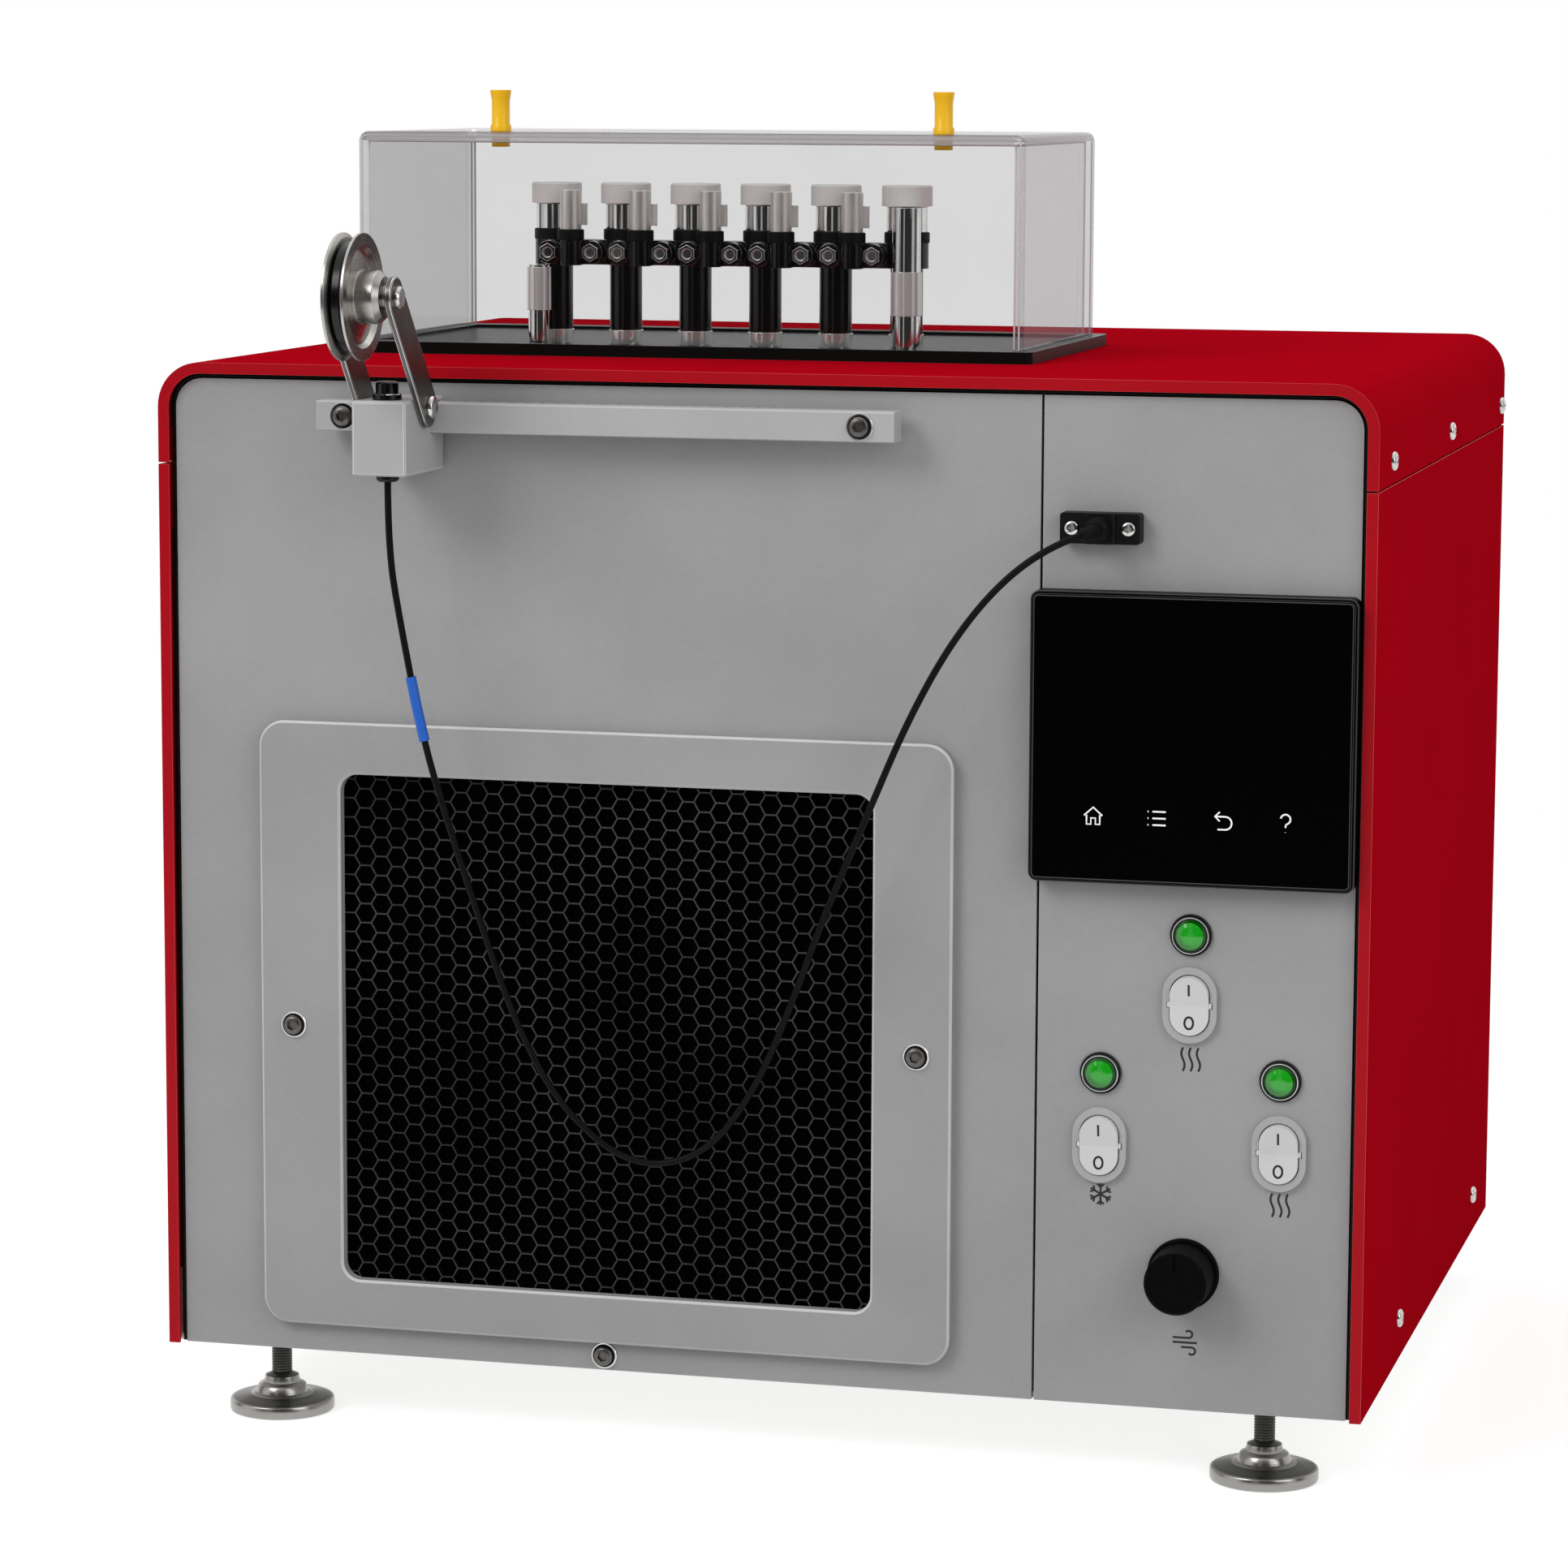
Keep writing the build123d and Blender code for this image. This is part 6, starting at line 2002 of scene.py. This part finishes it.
@dataclass
class Studio:
    """Pale floor, soft lamps, white surroundings and the camera."""

    camera_place: Point = (0.5772, -2.3428, 0.6128)
    azimuth: float = 14.5257
    elevation: float = 7.8496
    roll: float = 0.2344
    lens: float = 118.25
    floor_grey: float = 0.6
    floor_glow: float = 0.68
    floor_radius: float = 1.7
    ambient: float = 0.55
    room_dark: float = 0.03
    backdrop_span: tuple[float, float] = (0.0, 0.45)
    ceiling_span: tuple[float, float] = (0.4, 0.85)
    panels: tuple[SoftPanel, ...] = (
        SoftPanel(-118.0, 22.0, 0.04, 1.0), SoftPanel(-172.0, 5.0, 0.004, 0.55),
        SoftPanel(112.0, 12.0, 0.02, 0.9),
    )
    lamps: tuple[SoftBox, ...] = (
        SoftBox("key", (-1.5, -2.2, 2.2), (0.0, 0.0, 0.3), 1.4, 34.0),
        SoftBox("fill", (2.2, -1.6, 1.4), (0.0, 0.0, 0.3), 1.6, 13.0),
        SoftBox("top", (0.0, 0.6, 2.4), (0.0, 0.0, 0.4), 1.6, 6.0),
    )

    def build(self) -> None:
        """Sets up the whole studio."""
        bpy.context.scene.view_settings.view_transform = "Standard"
        self._camera()
        self._world()
        self._floor()
        for lamp in self.lamps:
            self._lamp(lamp)

    def _camera(self) -> None:
        """Camera at its measured place and angle."""
        data = bpy.data.cameras.new("camera")
        data.lens = self.lens
        data.sensor_width = 36.0
        data.clip_end = 50.0
        camera = put("camera", data)
        azimuth, elevation = math.radians(self.azimuth), math.radians(self.elevation)
        right = Vector((math.cos(azimuth), math.sin(azimuth), 0.0))
        ahead = Vector((-math.sin(azimuth), math.cos(azimuth), 0.0))
        forward = ahead * math.cos(elevation) - Vector((0.0, 0.0, math.sin(elevation)))
        up = right.cross(forward)
        roll = math.radians(self.roll)
        level = math.cos(roll) * right + math.sin(roll) * up
        upright = -math.sin(roll) * right + math.cos(roll) * up
        turn = Matrix((level, upright, -forward)).transposed().to_4x4()
        camera.matrix_world = Matrix.Translation(self.camera_place) @ turn
        bpy.context.scene.camera = camera

    def _world(self) -> None:
        """White backdrop, banded reflections of a studio room, and soft light."""
        world = bpy.data.worlds.new("studio")
        bpy.context.scene.world = world
        shade = Shade(world)
        path = shade.node("ShaderNodeLightPath")
        seen, through, mirrored = (
            Value(shade, path.outputs[f"Is {ray} Ray"]) for ray in ("Camera", "Transmission", "Glossy")
        )
        backdrop = seen + through
        other = 1.0 - backdrop - mirrored
        level = backdrop + mirrored * self._room(shade) + other * self.ambient
        white = (1.0, 1.0, 1.0, 1.0)
        light = shade.node("ShaderNodeBackground", None, {"Color": white, "Strength": level})
        shade.node("ShaderNodeOutputWorld", None, {"Surface": Value(shade, light.outputs["Background"])})

    def _room(self, shade: Shade) -> Value:
        """White backdrop and soft panels as mirrors see them, in a dark room.

        Args:
            shade: The world's tree.

        Returns:
            The brightness, from 0 to 1.
        """
        spot = shade.node("ShaderNodeTexCoord")
        direction = Value(shade, spot.outputs["Generated"])
        split = shade.node("ShaderNodeSeparateXYZ", None, {"Vector": direction})
        side, ahead, up = (Value(shade, split.outputs[letter]) for letter in "XYZ")
        reach = (side * side + ahead * ahead).root() + 0.001
        bright = (ahead / reach).ramp(*self.backdrop_span) + up.ramp(*self.ceiling_span)
        for panel in self.panels:
            turn = math.radians(panel.azimuth)
            towards = (side * math.sin(turn) + ahead * math.cos(turn)) / reach
            edge = math.cos(math.radians(panel.half_width))
            bright = bright + panel.level * towards.ramp(edge - panel.blur, edge + panel.blur)
        lit = shade.maths("MINIMUM", bright, 1.0)
        return self.room_dark + (1.0 - self.room_dark) * lit

    def _floor(self) -> None:
        """Pale floor."""
        bm = bmesh.new()
        bmesh.ops.create_circle(bm, cap_ends=True, segments=96, radius=self.floor_radius)
        mesh = bpy.data.meshes.new("floor")
        bm.to_mesh(mesh)
        bm.free()
        shade = Shade(bpy.data.materials.new("floor_white"))
        path = shade.node("ShaderNodeLightPath")
        diffuse = shade.node("ShaderNodeBsdfDiffuse", None, {"Color": (*grey(self.floor_grey), 1.0)})
        rays = ("Is Camera Ray", "Is Transmission Ray", "Is Glossy Ray")
        seen = sum((Value(shade, path.outputs[ray]) for ray in rays), 0.0)
        white = shade.node("ShaderNodeEmission", None, {"Strength": seen * self.floor_glow})
        both = shade.node("ShaderNodeAddShader", None, {
            0: Value(shade, diffuse.outputs[0]), 1: Value(shade, white.outputs[0]),
        })
        shade.node("ShaderNodeOutputMaterial", None, {"Surface": Value(shade, both.outputs[0])})
        mesh.materials.append(shade.owner)
        floor = put("floor", mesh)

    @staticmethod
    def _lamp(box: SoftBox) -> None:
        """One soft lamp.

        Args:
            box: Its place, aim, size and power.
        """
        data = bpy.data.lights.new(box.name, "AREA")
        data.shape = "SQUARE"
        data.size = box.size
        data.energy = box.watts
        lamp = put(box.name, data)
        lamp.location = box.place
        aim = Vector(box.aim) - Vector(box.place)
        lamp.rotation_euler = aim.to_track_quat("-Z", "Y").to_euler()


def main() -> None:
    """Builds the studio, then every sub-assembly in order."""
    logging.basicConfig(level=logging.INFO, format="%(name)s: %(message)s")
    Studio().build()
    assemblies = (
        SignalLine(), CaseShell(), FrontPanels(), IntakeGrille(), PulleyCarriage(), TouchDisplay(),
        ControlPanel(), CellRow(), RearInlet(), LevellingFeet(),
    )
    for assembly in assemblies:
        assembly.build()


if __name__ == "__main__":
    main()
